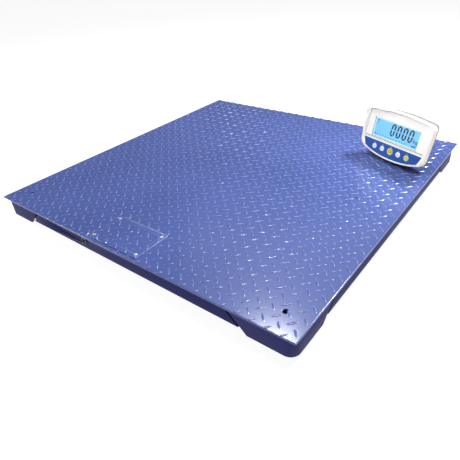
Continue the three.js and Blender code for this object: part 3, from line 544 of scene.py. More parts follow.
def lug_places():
    """Every lug on the deck: rising ones on a square lattice, falling ones half a pitch between them."""
    count = int((DECK_HIGH.x - DECK_LOW.x) / LUG_PITCH) + 2
    corner = DECK_LOW.to_2d() + LUG_PHASE
    for row in range(-1, count):
        for column in range(-1, count):
            at = corner + Vector((column, row)) * LUG_PITCH
            yield at, math.pi / 4
            yield at + Vector((0.5, 0.5)) * LUG_PITCH, -math.pi / 4


def inside(p, low, high, margin=0.0):
    return low.x + margin < p.x < high.x - margin and low.y + margin < p.y < high.y - margin


def within(low, high):
    """Holds a lug's points inside a rectangle."""
    def keep(p, centre):
        x = min(max(p.x, low.x + LUG_EDGE), high.x - LUG_EDGE)
        y = min(max(p.y, low.y + LUG_EDGE), high.y - LUG_EDGE)
        return Vector((x, y))
    return keep


def beyond(low, high):
    """Holds a lug's points on their own side of an opening."""
    def keep(p, centre):
        if not inside(p, low, high):
            return p
        if centre.x < low.x or centre.x > high.x:
            return Vector((low.x if centre.x < low.x else high.x, p.y))
        return Vector((p.x, low.y if centre.y < low.y else high.y))
    return keep


FOOT_PLACES = [Vector(joint(f"stud_turn_{name}")["pos_m"][:2]) for name in CORNERS]
COVER_SCREWS = [middle(f"cover_screw_{i}").to_2d() for i in range(1, 5)]
SCREW_HEAD = 5.5 * MM
COVER_CLEARANCE = 1.5 * MM
SHEET_EDGE = 2.0 * MM
LUG_EDGE = 0.4 * MM


def lugs(name, choose, holes):
    """The lugs that choose(place) gives a keeping rule, or none."""
    bm = bmesh.new()
    for at, angle in lug_places():
        keep = choose(at)
        if keep:
            add_lug(bm, at, angle, holes, keep)
    finished(name, bm, DECK_PAINT, "platform", smooth=36)


def build_deck():
    clear = Vector((COVER_CLEARANCE, COVER_CLEARANCE))
    deck_low, deck_high = DECK_LOW.to_2d(), DECK_HIGH.to_2d()
    cover_low, cover_high = COVER_LOW.to_2d(), COVER_HIGH.to_2d()
    open_low, open_high = cover_low - clear, cover_high + clear
    holes = [(p, FOOT_HOLE) for p in FOOT_PLACES] + [(p, LIFTING_HOLE) for p in LIFTING_HOLES]
    screws = [(p, SCREW_HEAD) for p in COVER_SCREWS]

    in_deck, round_opening = within(deck_low, deck_high), beyond(open_low, open_high)

    def on_deck(p):
        if not inside(p, deck_low, deck_high) or inside(p, open_low, open_high):
            return None
        return lambda q, centre: in_deck(round_opening(q, centre), centre)

    def on_cover(p):
        return within(cover_low, cover_high) if inside(p, cover_low, cover_high) else None

    bm = bmesh.new()
    openings = [box_loop(open_low.x, open_high.x, open_low.y, open_high.y, 1.5 * MM)]
    openings += [round_loop(p.x, p.y, radius) for p, radius in holes]
    outline = box_loop(deck_low.x, deck_high.x, deck_low.y, deck_high.y, 4 * MM)
    slab(bm, outline, openings, DECK_LOW.z, TREAD_BASE, SHEET_EDGE, low_edge=0.5 * MM)
    finished("deck_sheet", bm, DECK_PAINT, "platform", ("deck_plate",))
    lugs("deck_lugs", on_deck, holes)

    bm = bmesh.new()
    sinks = [round_loop(p.x, p.y, SCREW_HEAD) for p in COVER_SCREWS]
    outline = box_loop(cover_low.x, cover_high.x, cover_low.y, cover_high.y, 1.5 * MM)
    slab(bm, outline, sinks, COVER_LOW.z, TREAD_BASE, 0.5 * MM, low_edge=0.4 * MM)
    finished("cover_sheet", bm, DECK_PAINT, "platform", ("access_cover",))
    lugs("cover_lugs", on_cover, screws)


def build_cover_screws():
    """Countersunk heads with a round socket recess, flush with the cover's base surface."""
    top = TREAD_BASE - 0.1 * MM
    screw = [(0.2, -12), (2.9, -11.8), (2.9, -1.5), (5.3, -0.25), (5.3, -0.05), (5.1, 0), (2.4, 0),
             (2.2, -0.2), (2.0, -1.6), (0.2, -1.9)]
    profile = [(radius, top + z) for radius, z in scaled(screw)]
    for index, at in enumerate(COVER_SCREWS, 1):
        place = Matrix.Translation((at.x, at.y, 0))
        turned(f"cover_screw_head_{index}", profile, ZINC, "platform", place, 36,
               (f"cover_screw_{index}",))


# ---- frame under the deck


def build_frame():
    for name in ("front_channel", "right_channel", "back_channel", "left_channel"):
        sharpened(name, 1.2 * MM, FRAME_PAINT, 3)
    for index in range(1, 5):
        sharpened(f"rib_{index}", 0.8 * MM, FRAME_PAINT)
    for name in CORNERS:
        sharpened(f"corner_housing_{name}", 1.0 * MM, FRAME_PAINT, 3)
        sharpened(f"load_cell_{name}", 0.7 * MM, STEEL)
        sharpened(f"cell_spacer_{name}", 0.5 * MM, DARK_STEEL)
    sharpened("junction_pocket", 0.8 * MM, FRAME_PAINT)
    sharpened("junction_box", 0.8 * MM, BLACK_PLASTIC)
    sharpened("junction_lid", 0.8 * MM, BLACK_PLASTIC)


# ---- feet

def build_feet():
    profile = scaled([
        (0.2, 0), (28.6, 0), (29.6, 0.4), (30, 1.4), (30, 5.4), (29.5, 6.4), (27.5, 7.2), (20, 8.6),
        (14.5, 10.4), (12.4, 11.8), (11.6, 14.4), (11.0, 15), (8.4, 15), (7.8, 14.4), (7.6, 11),
        (3.6, 4.7), (0.2, 4.6),
    ])
    for name in CORNERS:
        foot = Vector((*joint(f"stud_turn_{name}")["pos_m"][:2], 0))
        turned(f"foot_rubber_{name}", profile, RUBBER, f"foot_{name}",
               Matrix.Translation(foot), 72, (f"foot_pad_{name}",))
        build_stud(name, foot)


THREAD_PITCH, THREAD_DEPTH, THREAD_RADIUS = 1.75 * MM, 0.55 * MM, 6.0 * MM
THREAD_SIDES, THREAD_STEPS = 32, 4          # points round the thread, and rings in one turn of it
COLLAR = [(0.2, 21.2), (10.0, 21.2), (10.9, 22.0), (10.9, 30.8), (10.0, 31.6), (0.2, 31.6)]
COLLAR_TOP = 31.6 * MM
STUD_SOCKET, STUD_SOCKET_DEPTH = 3.4 * MM, 6 * MM


def thread_rings(bm, bottom, top):
    """Rings of a cut thread, drawn in a little at its upper end."""
    count = int((top - bottom) / THREAD_PITCH * THREAD_STEPS)
    rings = []
    for k in range(count + 1):
        taper = min(1.0, 0.82 + 0.06 * (count - k))
        ring = []
        for share in [i / THREAD_SIDES for i in range(THREAD_SIDES)]:
            phase = (k / THREAD_STEPS - share) % 1.0
            radius = (THREAD_RADIUS - THREAD_DEPTH * (1 - abs(2 * phase - 1))) * taper
            angle = 2 * math.pi * share
            ring.append((radius * math.cos(angle), radius * math.sin(angle)))
        rings.append(flat_ring(bm, ring, bottom + (top - bottom) * k / count))
    return rings


def build_stud(name, foot):
    """Levelling stud: ball end, hexagon collar and a cut thread up to its socket."""
    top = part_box(f"foot_stud_{name}")[1].z
    bm = bmesh.new()
    ball = [(7 * math.sin(a), 12.3 - 7 * math.cos(a)) for a in (math.pi * i / 16 for i in range(1, 13))]
    turn_into(bm, scaled([(0.2, 5.3), *ball, (5, 21.0), (5, 22.0)]), 40)
    turn_into(bm, scaled(COLLAR), 6)
    rings = thread_rings(bm, COLLAR_TOP, top)
    skin(bm, rings)
    fan(bm, rings[0][::-1])
    loop = round_loop(0, 0, STUD_SOCKET, 6)()
    mouth, end = flat_ring(bm, loop, top), flat_ring(bm, loop, top - STUD_SOCKET_DEPTH)
    fill(bm, [rings[-1], mouth])
    bridge(bm, mouth, end)
    fan(bm, end)
    finished(f"levelling_stud_{name}", bm, ZINC, f"stud_{name}", (f"foot_stud_{name}",),
             Matrix.Translation(foot), 40)


# ---- cables and sockets


def build_cables():
    for node in [f"cell_cable_{name}" for name in CORNERS] + ["home_cable"]:
        recoated(node, JACKET)


def add_pins(bm, count, circle, radius, low, high):
    """Round-ended contact pins on a circle, for a socket drawn in mm round Z."""
    profile = [(0.01, low), (radius, low), (radius, high - radius), (0.7 * radius, high - 0.3 * radius),
               (0.01, high)]
    for i in range(count):
        angle = 2 * math.pi * (i + 0.5) / count
        at = Matrix.Translation((circle * math.cos(angle), circle * math.sin(angle), 0))
        turn_into(bm, profile, 12, at)


# Panel socket in the front wall, in mm round its own axis, with Z out of the wall.
WALL_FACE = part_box("front_channel")[0].y
PANEL_SOCKET = Matrix.Translation((middle("platform_socket").x, WALL_FACE, middle("platform_socket").z))
PANEL_SOCKET = PANEL_SOCKET @ Matrix.Rotation(math.pi / 2, 4, "X") @ Matrix.Scale(MM, 4)


def build_platform_socket():
    ring = [
        (0.01, -7.6), (7.4, -7.6), (7.4, 1.6), (7.9, 2.2), (9.6, 2.6), (11.6, 2.6), (12.8, 2.2),
        (13.4, 1.2), (13.4, 0.3), (10.4, 0.3), (10.4, -4.4), (11.5, -4.5), (11.5, -9.0), (5.6, -11.2),
        (5.4, -15.2), (0.01, -15.3),
    ]
    turned("panel_socket_shell", ring, BLACK_PLASTIC, "platform", PANEL_SOCKET, 64,
           ("platform_socket",))
    insert = [(0.01, -7.4), (6.4, -7.4), (6.6, -7.0), (6.6, -3.4), (6.2, -3.0), (0.01, -3.0)]
    turned("panel_socket_insert", insert, JACKET, "platform", PANEL_SOCKET, 40)
    bm = bmesh.new()
    add_pins(bm, 5, 4.2, 0.75, -3.4, 0.6)
    finished("panel_socket_pins", bm, ZINC, "platform", place=PANEL_SOCKET)
    bm = bmesh.new()
    for sx, sy in ((-1, -1), (1, 1)):
        at = Matrix.Translation((sx * 8.6, sy * 8.6, 0))
        turn_into(bm, [(0.01, 2.0), (1.2, 2.0), (1.2, 3.0), (0.8, 3.3), (0.01, 3.3)], 16, at)
    finished("panel_socket_screws", bm, ZINC, "platform", place=PANEL_SOCKET)


CELL_BOLT_PLACES = (76 * MM, 102 * MM)      # from the foot's axis along the cell
CELL_END = 114 * MM


def build_cell_fittings():
    """The bolts under each load cell, and the gland at the end where its cable leaves."""
    head = scaled([
        (0.01, 9.5), (3.6, 9.6), (3.7, 4.2), (4.3, 3.6), (7.6, 3.6), (8.4, 4.2), (8.5, 4.9), (8.5, 11.6),
        (0.01, 11.8),
    ])
    gland = scaled([(0.01, 0), (6.4, 0), (6.4, 4.6), (5.6, 5.2), (5.2, 8.6), (4.4, 9.8), (0.01, 9.9)])
    for name, (sx, sy) in CORNERS.items():
        foot = joint(f"stud_turn_{name}")["pos_m"]
        low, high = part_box(f"load_cell_{name}")
        bm = bmesh.new()
        for along in CELL_BOLT_PLACES:
            at = Matrix.Translation((foot[0] - sx * along, foot[1], low.z - 11.8 * MM))
            turn_into(bm, head, 36, at)
        finished(f"cell_bolts_{name}", bm, ZINC, "platform")
        end = Matrix.Translation((foot[0] - sx * CELL_END, foot[1], (low.z + high.z) / 2))
        end = end @ Matrix.Rotation(-sx * math.pi / 2, 4, "Y")
        turned(f"cell_gland_{name}", gland, BLACK_PLASTIC, "platform", end, 40)


# ---- indicator shells
# Drawn in mm in the face frame: +X right, +Y up, +Z out of the face, origin in the display's middle.

FACE_MM = FACE_FRAME @ Matrix.Scale(MM, 4)
BACK_MM = FACE_MM @ Matrix.Rotation(math.pi, 4, "Y")     # the same, seen from behind: +Z out of the back
CHIN, CROWN = -99.5, 72
SEAM_Z = -10
SEAM_GAP = 0.3
SEAM_CHAMFER = 0.6
SHELL_WALL = 3
INNER_SCALE = 0.965
VISOR_BOTTOM, VISOR_TOP = 1.5, 8
BACK_Z = -60
OUTLINE_POINTS = 240
RAY_CENTRE = Vector((0, -12))
KEY_Y = -66.5
KEYS = [(-73, 8.4), (-37.3, 8.4), (-0.6, 11.3), (35, 8.4), (71, 9)]
KEY_CLEARANCE = 0.4
LENS_OPENING = (100.3, 33.7)
BATTERY_DOOR = (-67.5, 5, 76, 58)           # middle x and y, width, height
DOOR_DEPTH = 1.6
REAR_SOCKET = (78, -22)
REAR_SOCKET_HOLE = 8.3
REAR_SCREWS = [(-96, 47), (96, 47), (-90, -50), (90, -50)]
VENTS = [(62, 12 + 6 * i) for i in range(5)]

FACE_HALF = (
    quadratic((0, CHIN), (68, CHIN), (124, -80)) + quadratic((124, -80), (141, -72), (143, -56))
    + quadratic((143, -56), (146, -5), (148, 45)) + quadratic((148, 45), (149, 60), (130, 63))
    + quadratic((130, 63), (65, CROWN), (0, CROWN)) + [(0, CROWN)]
)
RECESS_HALF = (
    quadratic((0, -94), (70, -94), (118, -74)) + [(118, -74), (129, -45.5), (126, 52)]
    + quadratic((126, 52), (126, 58), (118, 59), 6) + [(118, 59), (53, 62), (47, 66), (0, 66)]
)
FACE_OUTLINE = evenly(mirrored(FACE_HALF), OUTLINE_POINTS)


def where_ray_leaves(towards, outline):
    """Where the ray from RAY_CENTRE through a point crosses an outline."""
    ray = towards - RAY_CENTRE
    for a, b in zip(outline, outline[1:] + outline[:1]):
        side = b - a
        cross = ray.x * side.y - ray.y * side.x
        if abs(cross) < 1e-9:
            continue
        gap = a - RAY_CENTRE
        along = (gap.x * side.y - gap.y * side.x) / cross
        share = (gap.x * ray.y - gap.y * ray.x) / cross
        if along > 0 and 0 <= share <= 1:
            return RAY_CENTRE + ray * along
    raise ValueError("ray misses the outline")


def rim_height(y):
    return VISOR_BOTTOM + (y - CHIN) / (CROWN - CHIN) * (VISOR_TOP - VISOR_BOTTOM)


def rim_section(outer, inner):
    """One slice of the rim, from the seam over its rounded edges down to the sunk face."""
    inward = inner - outer
    width = inward.length
    inward /= width
    outer_round = min(5.5, 0.5 * width)
    inner_round = min(2.2, 0.35 * width, 0.8 * rim_height(inner.y))
    points = [(outer + inward * SEAM_CHAMFER, SEAM_Z), (outer, SEAM_Z + SEAM_CHAMFER)]
    points += [(outer + inward * outer_round * drawn, rim_height(outer.y) - outer_round * (1 - risen))
               for drawn, risen in quarter(6)]
    points += [(inner - inward * inner_round * (1 - risen), rim_height(inner.y) - inner_round * drawn)
               for drawn, risen in quarter(5)]
    points.append((inner, 0.0))
    return [(p.x, p.y, z) for p, z in points]


def build_front_shell():
    recess = mirrored(RECESS_HALF)
    sections = [rim_section(o, where_ray_leaves(o, recess)) for o in FACE_OUTLINE]
    bm = bmesh.new()
    rings = [add_ring(bm, ring) for ring in zip(*sections)]
    skin(bm, rings)
    cavity = [add_ring(bm, [(p.x * INNER_SCALE, p.y * INNER_SCALE, z) for p in FACE_OUTLINE])
              for z in (SEAM_Z, -SHELL_WALL)]
    bridge(bm, cavity[0], cavity[1])
    bridge(bm, rings[0], cavity[0])
    x, y = LENS_OPENING
    holes = [box_loop(-x, x, -y, y, 1.5)]
    holes += [round_loop(at, KEY_Y, radius + KEY_CLEARANCE) for at, radius in KEYS]
    ends = [bore(bm, loop, 0.0, -SHELL_WALL) for loop in holes]
    fill(bm, [rings[-1]] + [high for high, _ in ends])
    fill(bm, [cavity[1]] + [low for _, low in ends])
    finished("front_housing", bm, SHELL, "indicator", ("front_shell",), FACE_MM, 40)


REAR_KNOTS = [(-15, 0.99, 0.5), (-24, 0.955, 2), (-36, 0.9, 5), (-50, 0.845, 8), (-56, 0.815, 8)]
BACK_EDGE = 4
BACK_EDGE_SCALE = 0.05


def rear_levels():
    """(z, scale, rise) of the rear shell's rings, from the seam to its flat back."""
    start = SEAM_Z - SEAM_GAP
    knots = [(start - SEAM_CHAMFER, 1.0, 0.0)] + REAR_KNOTS
    levels = [(start, 0.995, 0.0)]
    for k in range(len(knots) - 1):
        before, a = Vector(knots[max(k - 1, 0)]), Vector(knots[k])
        b, after = Vector(knots[k + 1]), Vector(knots[min(k + 2, len(knots) - 1)])
        for i in range(4):
            t = i / 4
            bend_in, bend_out = a + (b - before) / 6, b - (after - a) / 6
            one, two, three = a.lerp(bend_in, t), bend_in.lerp(bend_out, t), bend_out.lerp(b, t)
            levels.append(tuple(one.lerp(two, t).lerp(two.lerp(three, t), t)))
    z, factor, rise = knots[-1]
    return levels + [(z - BACK_EDGE * risen, factor - BACK_EDGE_SCALE * drawn, rise)
                     for drawn, risen in quarter(6)]


def add_levels(bm, levels):
    rings = [add_ring(bm, [(p.x * factor, p.y * factor + rise, z) for p in FACE_OUTLINE])
             for z, factor, rise in levels]
    skin(bm, rings)
    return rings


def centred_loop(x, y, width, height, radius):
    return box_loop(x - width / 2, x + width / 2, y - height / 2, y + height / 2, radius)


def build_rear_shell():
    levels = rear_levels()
    inner_levels = [(levels[0][0], INNER_SCALE, 0.0)] + [
        (z + SHELL_WALL, factor * INNER_SCALE, rise) for z, factor, rise in levels[6::2]
    ]
    bm = bmesh.new()
    outer, inner = add_levels(bm, levels), add_levels(bm, inner_levels)
    bridge(bm, outer[0], inner[0])
    inside = inner_levels[-1][0]
    x, y, width, height = BATTERY_DOOR
    sunk = [centred_loop(x, y, width + 2 * SEAM_GAP, height + 2 * SEAM_GAP, 3)]
    sinks = [bore(bm, loop, BACK_Z, BACK_Z + DOOR_DEPTH, floor=True) for loop in sunk]
    sinks += [bore(bm, round_loop(*at, 4), BACK_Z, BACK_Z + 2.2, floor=True) for at in REAR_SCREWS]
    through = [round_loop(*REAR_SOCKET, REAR_SOCKET_HOLE)]
    through += [centred_loop(vx, vy, 44, 2.4, 1.1) for vx, vy in VENTS]
    bores = [bore(bm, loop, BACK_Z, inside) for loop in through]
    fill(bm, [outer[-1]] + [mouth for mouth, _ in sinks + bores])
    fill(bm, [inner[-1]] + [end for _, end in bores])
    finished("rear_housing", bm, REAR_SHELL, "indicator", ("rear_shell",), FACE_MM, 40)


BOSS_HALF_WIDTH, BOSS_RADIUS, BOSS_BORE = 27, 11, 4.6
PIVOT_Y, PIVOT_Z = 10, -78
BOSS_FRAME = Matrix(((0, 0, 1, 0), (1, 0, 0, PIVOT_Y), (0, 1, 0, PIVOT_Z), (0, 0, 0, 1)))


def boss_loop(inset=0.0):
    """The boss from its side, drawn round its pivot: a round nose on a foot that flares to the shell."""
    radius, foot = BOSS_RADIUS - inset, BACK_Z - PIVOT_Z + 1.2
    turns = [math.pi * (1 + i / 24) for i in range(25)]
    points = [(radius * math.cos(a), radius * math.sin(a)) for a in turns]
    flare = [(radius + 3 * (i / 5) ** 2, foot * (0.6 + 0.4 * i / 5)) for i in range(6)]
    return points + flare + [(-u, v) for u, v in reversed(flare)]


def build_rear_fittings():
    bm = bmesh.new()
    slab(bm, boss_loop, [round_loop(0, 0, BOSS_BORE, 32)], -BOSS_HALF_WIDTH, BOSS_HALF_WIDTH, 0.9,
         low_edge=0.7)
    finished("tilt_boss", bm, REAR_SHELL, "indicator", place=FACE_MM @ BOSS_FRAME)
    build_battery_door()
    bm = bmesh.new()
    head = [(0.01, 58.2), (1.2, 58.2), (1.4, 59.4), (1.7, 59.6), (2.9, 59.4), (3.4, 58.8), (3.5, 57.9),
            (0.01, 57.9)]
    for x, y in REAR_SCREWS:
        turn_into(bm, head, 24, Matrix.Translation((-x, y, 0)))
    finished("housing_screws", bm, ZINC, "indicator", place=BACK_MM)
    build_rear_socket()


def build_battery_door():
    x, y, width, height = BATTERY_DOOR
    bm = bmesh.new()
    slab(bm, centred_loop(-x, y, width, height, 2.7), [], -BACK_Z - 1.3, -BACK_Z, 0.5, low_edge=0.2)
    for i in range(6):
        ridge = centred_loop(-x - width / 2 + 8 + 3 * i, y, 1.3, 0.5 * height, 0.6)
        slab(bm, ridge, [], -BACK_Z - 0.2, -BACK_Z + 0.7, 0.45, low_edge=0.1)
    latch = centred_loop(-x + width / 2 - 8, y, 8, 16, 2)
    slab(bm, latch, [], -BACK_Z - 0.2, -BACK_Z + 0.6, 0.4, low_edge=0.1)
    finished("battery_cover", bm, REAR_SHELL, "indicator", ("battery_door",), BACK_MM)


def build_rear_socket():
    x, y = REAR_SOCKET
    place = BACK_MM @ Matrix.Translation((-x, y, 0))
    shell = [(0.01, 53.2), (7.9, 53.2), (7.9, 60.3), (10.6, 60.3), (11, 60.8), (11, 62), (10.4, 62.5),
             (8, 62.5)]
    for i in range(4):
        z = 63.1 + 1.4 * i
        shell += [(7.9, z), (7.5, z + 0.35), (7.5, z + 0.7), (7.9, z + 1.05)]
    shell += [(7.7, 69), (6, 69), (5.5, 68.5), (5.5, 63), (0.01, 62.9)]
    turned("rear_socket_shell", shell, ZINC, "indicator", place, 48, ("rear_socket",))
    bm = bmesh.new()
    turn_into(bm, [(0.01, 62.6), (5.3, 62.6), (5.3, 64.8), (5, 65.1), (0.01, 65.1)], 36)
    finished("rear_socket_insert", bm, BLACK_PLASTIC, "indicator", place=place)
    bm = bmesh.new()
    add_pins(bm, 5, 3.3, 0.6, 64.6, 67.6)
    finished("rear_socket_pins", bm, GOLD, "indicator", place=place)


# ---- display

LCD_FRONT = -2.8
LCD_AREA = (95.5, 29.0)
PRINT = 0.12                               # thickness of a printed or liquid-crystal mark
DIGITS = [(-23.5, 18.5), (2, 18.5), (27.5, 18.5), (53, 18.5)]      # left side and width
DIGIT_LOW, DIGIT_HIGH = -15.5, 28
DIGIT_STROKE = 6.2
DIGIT_SLANT = 0.1


def build_display():
    sharpened("lcd_module", 0.4 * MM, LCD_EDGE)
    sharpened("display_window", 0.3 * MM, LENS)
    x, y = LCD_AREA
    bm = bmesh.new()
    slab(bm, box_loop(-x, x, -y, y, 2.0), [], LCD_FRONT - 0.02, LCD_FRONT + 0.05, 0.02)
    finished("lcd_field", bm, LCD_LIGHT, "indicator", place=FACE_MM)
    bm = bmesh.new()
    for left, width in DIGITS:
        add_zero(bm, left, width)
    add_unit(bm)
    add_annunciators(bm)
    finished("lcd_segments", bm, LCD_INK, "indicator", place=FACE_MM)


MARK_LOW, MARK_HIGH = LCD_FRONT + 0.03, LCD_FRONT + 0.05 + PRINT


def mark(bm, points):
    prism_into(bm, points, MARK_LOW, MARK_HIGH)


def add_zero(bm, left, width):
    """The six lit bars of a nought: mitred, slanted, a hair apart."""
    high, low, t, gap = DIGIT_HIGH, DIGIT_LOW, DIGIT_STROKE, 0.2
    right, mid = left + width, (DIGIT_HIGH + DIGIT_LOW) / 2

    def slanted(points):
        return [(x + DIGIT_SLANT * (y - mid), y) for x, y in points]

    for y0, y1 in ((low + gap, mid - gap), (mid + gap, high - gap)):
        outer_low = 0.4 * t if y0 < mid - t else 0.0
        outer_high = 0.4 * t if y1 > mid + t else 0.0
        bar = [(0, y0 + outer_low), (t, y0 + (t if outer_low else 0.4 * t)),
               (t, y1 - (t if outer_high else 0.4 * t)), (0, y1 - outer_high)]
        mark(bm, slanted([(left + x, y) for x, y in bar]))
        mark(bm, slanted([(right - x, y) for x, y in bar])[::-1])
    for edge, inward in ((high, -1), (low, 1)):
        flat = [(left + 0.4 * t + gap, edge), (right - 0.4 * t - gap, edge),
                (right - t - gap, edge + inward * t), (left + t + gap, edge + inward * t)]
        mark(bm, slanted(flat if inward > 0 else flat[::-1]))


def arc_points(x, y, radius, start, stop, steps=14):
    angles = [math.radians(start + (stop - start) * i / steps) for i in range(steps + 1)]
    return [(x + radius * math.cos(a), y + radius * math.sin(a)) for a in angles]


def add_unit(bm):
    """The kilogram sign beside the digits."""
    lines = [
        [(77, -13), (77, 1)], [(77, -7), (82.6, -2)], [(78.6, -6), (83.2, -13)],
        arc_points(88.6, -8.4, 3.4, 0, 360, 20), [(92.3, -3.6), (92.3, -15)],
        arc_points(88.9, -15, 3.4, 0, -150, 10),
    ]
    for line in lines:
        stroke(bm, line, 1.9, MARK_LOW, MARK_HIGH)


def add_annunciators(bm):
    """Generic status marks: pointers along the lower edge, a zero arrow, a battery and a level bar."""
    for i in range(11):
        x = -78 + 12.4 * i
        mark(bm, [(x - 2.6, -22), (x, -26.2), (x + 2.6, -22)])
    mark(bm, [(-90, 24), (-84, 20.5), (-84, 27.5)][::-1])
    mark(bm, [(-90, 14), (-85, 14), (-85, 17), (-90, 17)])
    for y in (-26, -21.4):
        stroke(bm, [(72, y), (88, y)], 1.0, MARK_LOW, MARK_HIGH)
    for i in range(5):
        x = 73 + 3.6 * i
        mark(bm, [(x, -25.2), (x + 2.2, -25.2), (x + 2.2, -22.2), (x, -22.2)])
    mark(bm, [(-90, -25.5), (-84.4, -25.5), (-84.4, -21.5), (-90, -21.5)])


# ---- keypad

FILM_LOW, FILM_HIGH = 0.3, 1.1
FILM_TOP = -45.5
FILM_HALF = (
    quadratic((0, -93), (69, -93), (116.5, -73.5), 20) + [(116.5, -73.5), (127.6, -46.6), (126.6, FILM_TOP)]
    + [(0, FILM_TOP)]
)
STRIPES = [(-36.4, 2.0), (-41.0, 0.8)]     # height and width of the printed lines above the keypad
STRIPE_HALF = 127


def build_keypad():
    holes = [round_loop(x, KEY_Y, radius + KEY_CLEARANCE) for x, radius in KEYS]
    bm = bmesh.new()
    slab(bm, outline_loop(mirrored(FILM_HALF)), holes, FILM_LOW, FILM_HIGH, 0.25, low_edge=0.1)
    finished("keypad_membrane", bm, FILM, "indicator", ("keypad_panel",), FACE_MM)
    bm = bmesh.new()
    for y, width in STRIPES:
        stroke(bm, [(-STRIPE_HALF, y), (0, y), (STRIPE_HALF, y)], width, -0.05, PRINT)
    finished("printed_stripes", bm, PINSTRIPE, "indicator", place=FACE_MM)
    bm = bmesh.new()
    for x, radius in KEYS:
        y = KEY_Y + radius + 4.6
        stroke(bm, [(x - 3.4, y), (x + 3.4, y)], 1.2, FILM_HIGH - 0.05, FILM_HIGH + PRINT)
        ring = [round_loop(x, KEY_Y, radius + 2.0), round_loop(x, KEY_Y, radius + 1.3)]
        slab(bm, ring[0], ring[1:], FILM_HIGH - 0.05, FILM_HIGH + PRINT, 0.05)
    finished("keypad_print", bm, MARK_PALE, "indicator", place=FACE_MM)


KEY_TOP = 2.6
SKIRT = (-7.2, -3.3, 1.6)                  # low, high and extra radius of a key's skirt
KEY_LOOKS = [KEY_WHITE, KEY_WHITE, KEY_YELLOW, KEY_WHITE, KEY_LIME]


def key_marks(index, reach):
    """Lines of the generic sign on one key, drawn round the key's middle."""
    signs = [
        [[(-reach, 0), (reach, 0)], [(0, -reach), (0, reach)]],
        [[(-reach, -0.4 * reach), (0, 0.6 * reach), (reach, -0.4 * reach)]],
        [arc_points(0, 0, reach, 0, 360, 28)],
        [[(-reach, 0.45 * reach), (reach, 0.45 * reach)], [(-reach, -0.45 * reach), (reach, -0.45 * reach)]],
        [arc_points(0, 0, reach, 120, 420, 24), [(0, 0.35 * reach), (0, 1.35 * reach)]],
    ]
    return signs[index]


def build_keys():
    low, high, extra = SKIRT
    for index, (x, radius) in enumerate(KEYS):
        place = FACE_MM @ Matrix.Translation((x, KEY_Y, 0))
        profile = [(0.01, low), (radius + extra, low), (radius + extra, high), (radius, high)]
        profile += [(radius - 1.5 * drawn, KEY_TOP - 1.2 + 1.2 * risen) for drawn, risen in quarter(6)]
        profile += [(radius - 2.2, KEY_TOP - 0.04), (0.72 * radius, KEY_TOP - 0.25), (0.01, KEY_TOP - 0.25)]
        number = index + 1
        turned(f"key_dome_{number}", profile, KEY_LOOKS[index], f"key_cap_{number}", place, 64,
               (f"key_{number}",))
        bm = bmesh.new()
        reach = 0.42 * radius
        for line in key_marks(index, reach):
            stroke(bm, line, 0.42 * reach, KEY_TOP - 0.3, KEY_TOP - 0.25 + PRINT)
        finished(f"key_sign_{number}", bm, MARK_DARK, f"key_cap_{number}", place=place)


# ---- stand and clamping knob

HEADING = math.atan2(FACE_RIGHT.y, FACE_RIGHT.x)
STAND_FRAME = Matrix.Translation((FACE_ORIGIN.x, FACE_ORIGIN.y, DECK_TOP)) @ Matrix.Rotation(HEADING, 4, "Z")
STAND_MM = STAND_FRAME @ Matrix.Scale(MM, 4)
PIVOT = STAND_MM.inverted() @ Vector(joint("knob_turn")["pos_m"])
STAND_HALF, STAND_FRONT, STAND_BACK, STAND_CORNER = 56, 4, 96, 8
PAD_TOP, SHEET = 2.0, 3
EAR_INNER = BOSS_HALF_WIDTH + 0.6
EAR_RADIUS, EAR_FOOT_HALF = 10, 26
SIDE_FRAME = Matrix(((0, 0, 1, 0), (1, 0, 0, 0), (0, 1, 0, 0), (0, 0, 0, 1)))


def ear_loop(inset=0.0):
    """An ear of the stand from its side: a wide foot drawn in to a round head at the pivot."""
    radius = EAR_RADIUS - inset
    foot = PAD_TOP + 0.3 + inset
    back = min(PIVOT.y + EAR_FOOT_HALF, STAND_BACK - 3) - inset
    front = PIVOT.y - EAR_FOOT_HALF + inset
    head = [(PIVOT.y + radius * math.cos(a), PIVOT.z + radius * math.sin(a))
            for a in (math.pi * i / 20 for i in range(21))]
    return [(front, foot), (back, foot)] + head


def build_stand():
    outline = box_loop(-STAND_HALF, STAND_HALF, STAND_FRONT, STAND_BACK, STAND_CORNER)
    bm = bmesh.new()
    slab(bm, outline, [], 0.3, PAD_TOP, 0.4, low_edge=0.4)
    finished("stand_rubber", bm, RUBBER, "stand", ("stand_pad",), STAND_MM)
    bm = bmesh.new()
    slab(bm, outline, [], PAD_TOP + 0.3, PAD_TOP + 0.3 + SHEET, 0.6, low_edge=0.5)
    finished("stand_foot", bm, DARK_STEEL, "stand", ("stand_yoke",), STAND_MM)
    pivot_hole = round_loop(PIVOT.y, PIVOT.z, BOSS_BORE, 32)
    for side, low in (("left", -EAR_INNER - SHEET), ("right", EAR_INNER)):
        bm = bmesh.new()
        slab(bm, ear_loop, [pivot_hole], low, low + SHEET, 0.6, low_edge=0.6)
        finished(f"stand_ear_{side}", bm, DARK_STEEL, "stand", place=STAND_MM @ SIDE_FRAME)


KNOB_RADIUS, KNOB_LOBES, LOBE_HEIGHT = 14, 6, 1.5
KNOB_LENGTH = 16
BOLT_RADIUS = 4


def lobed(angle):
    return 1 + LOBE_HEIGHT / KNOB_RADIUS * math.cos(KNOB_LOBES * angle)


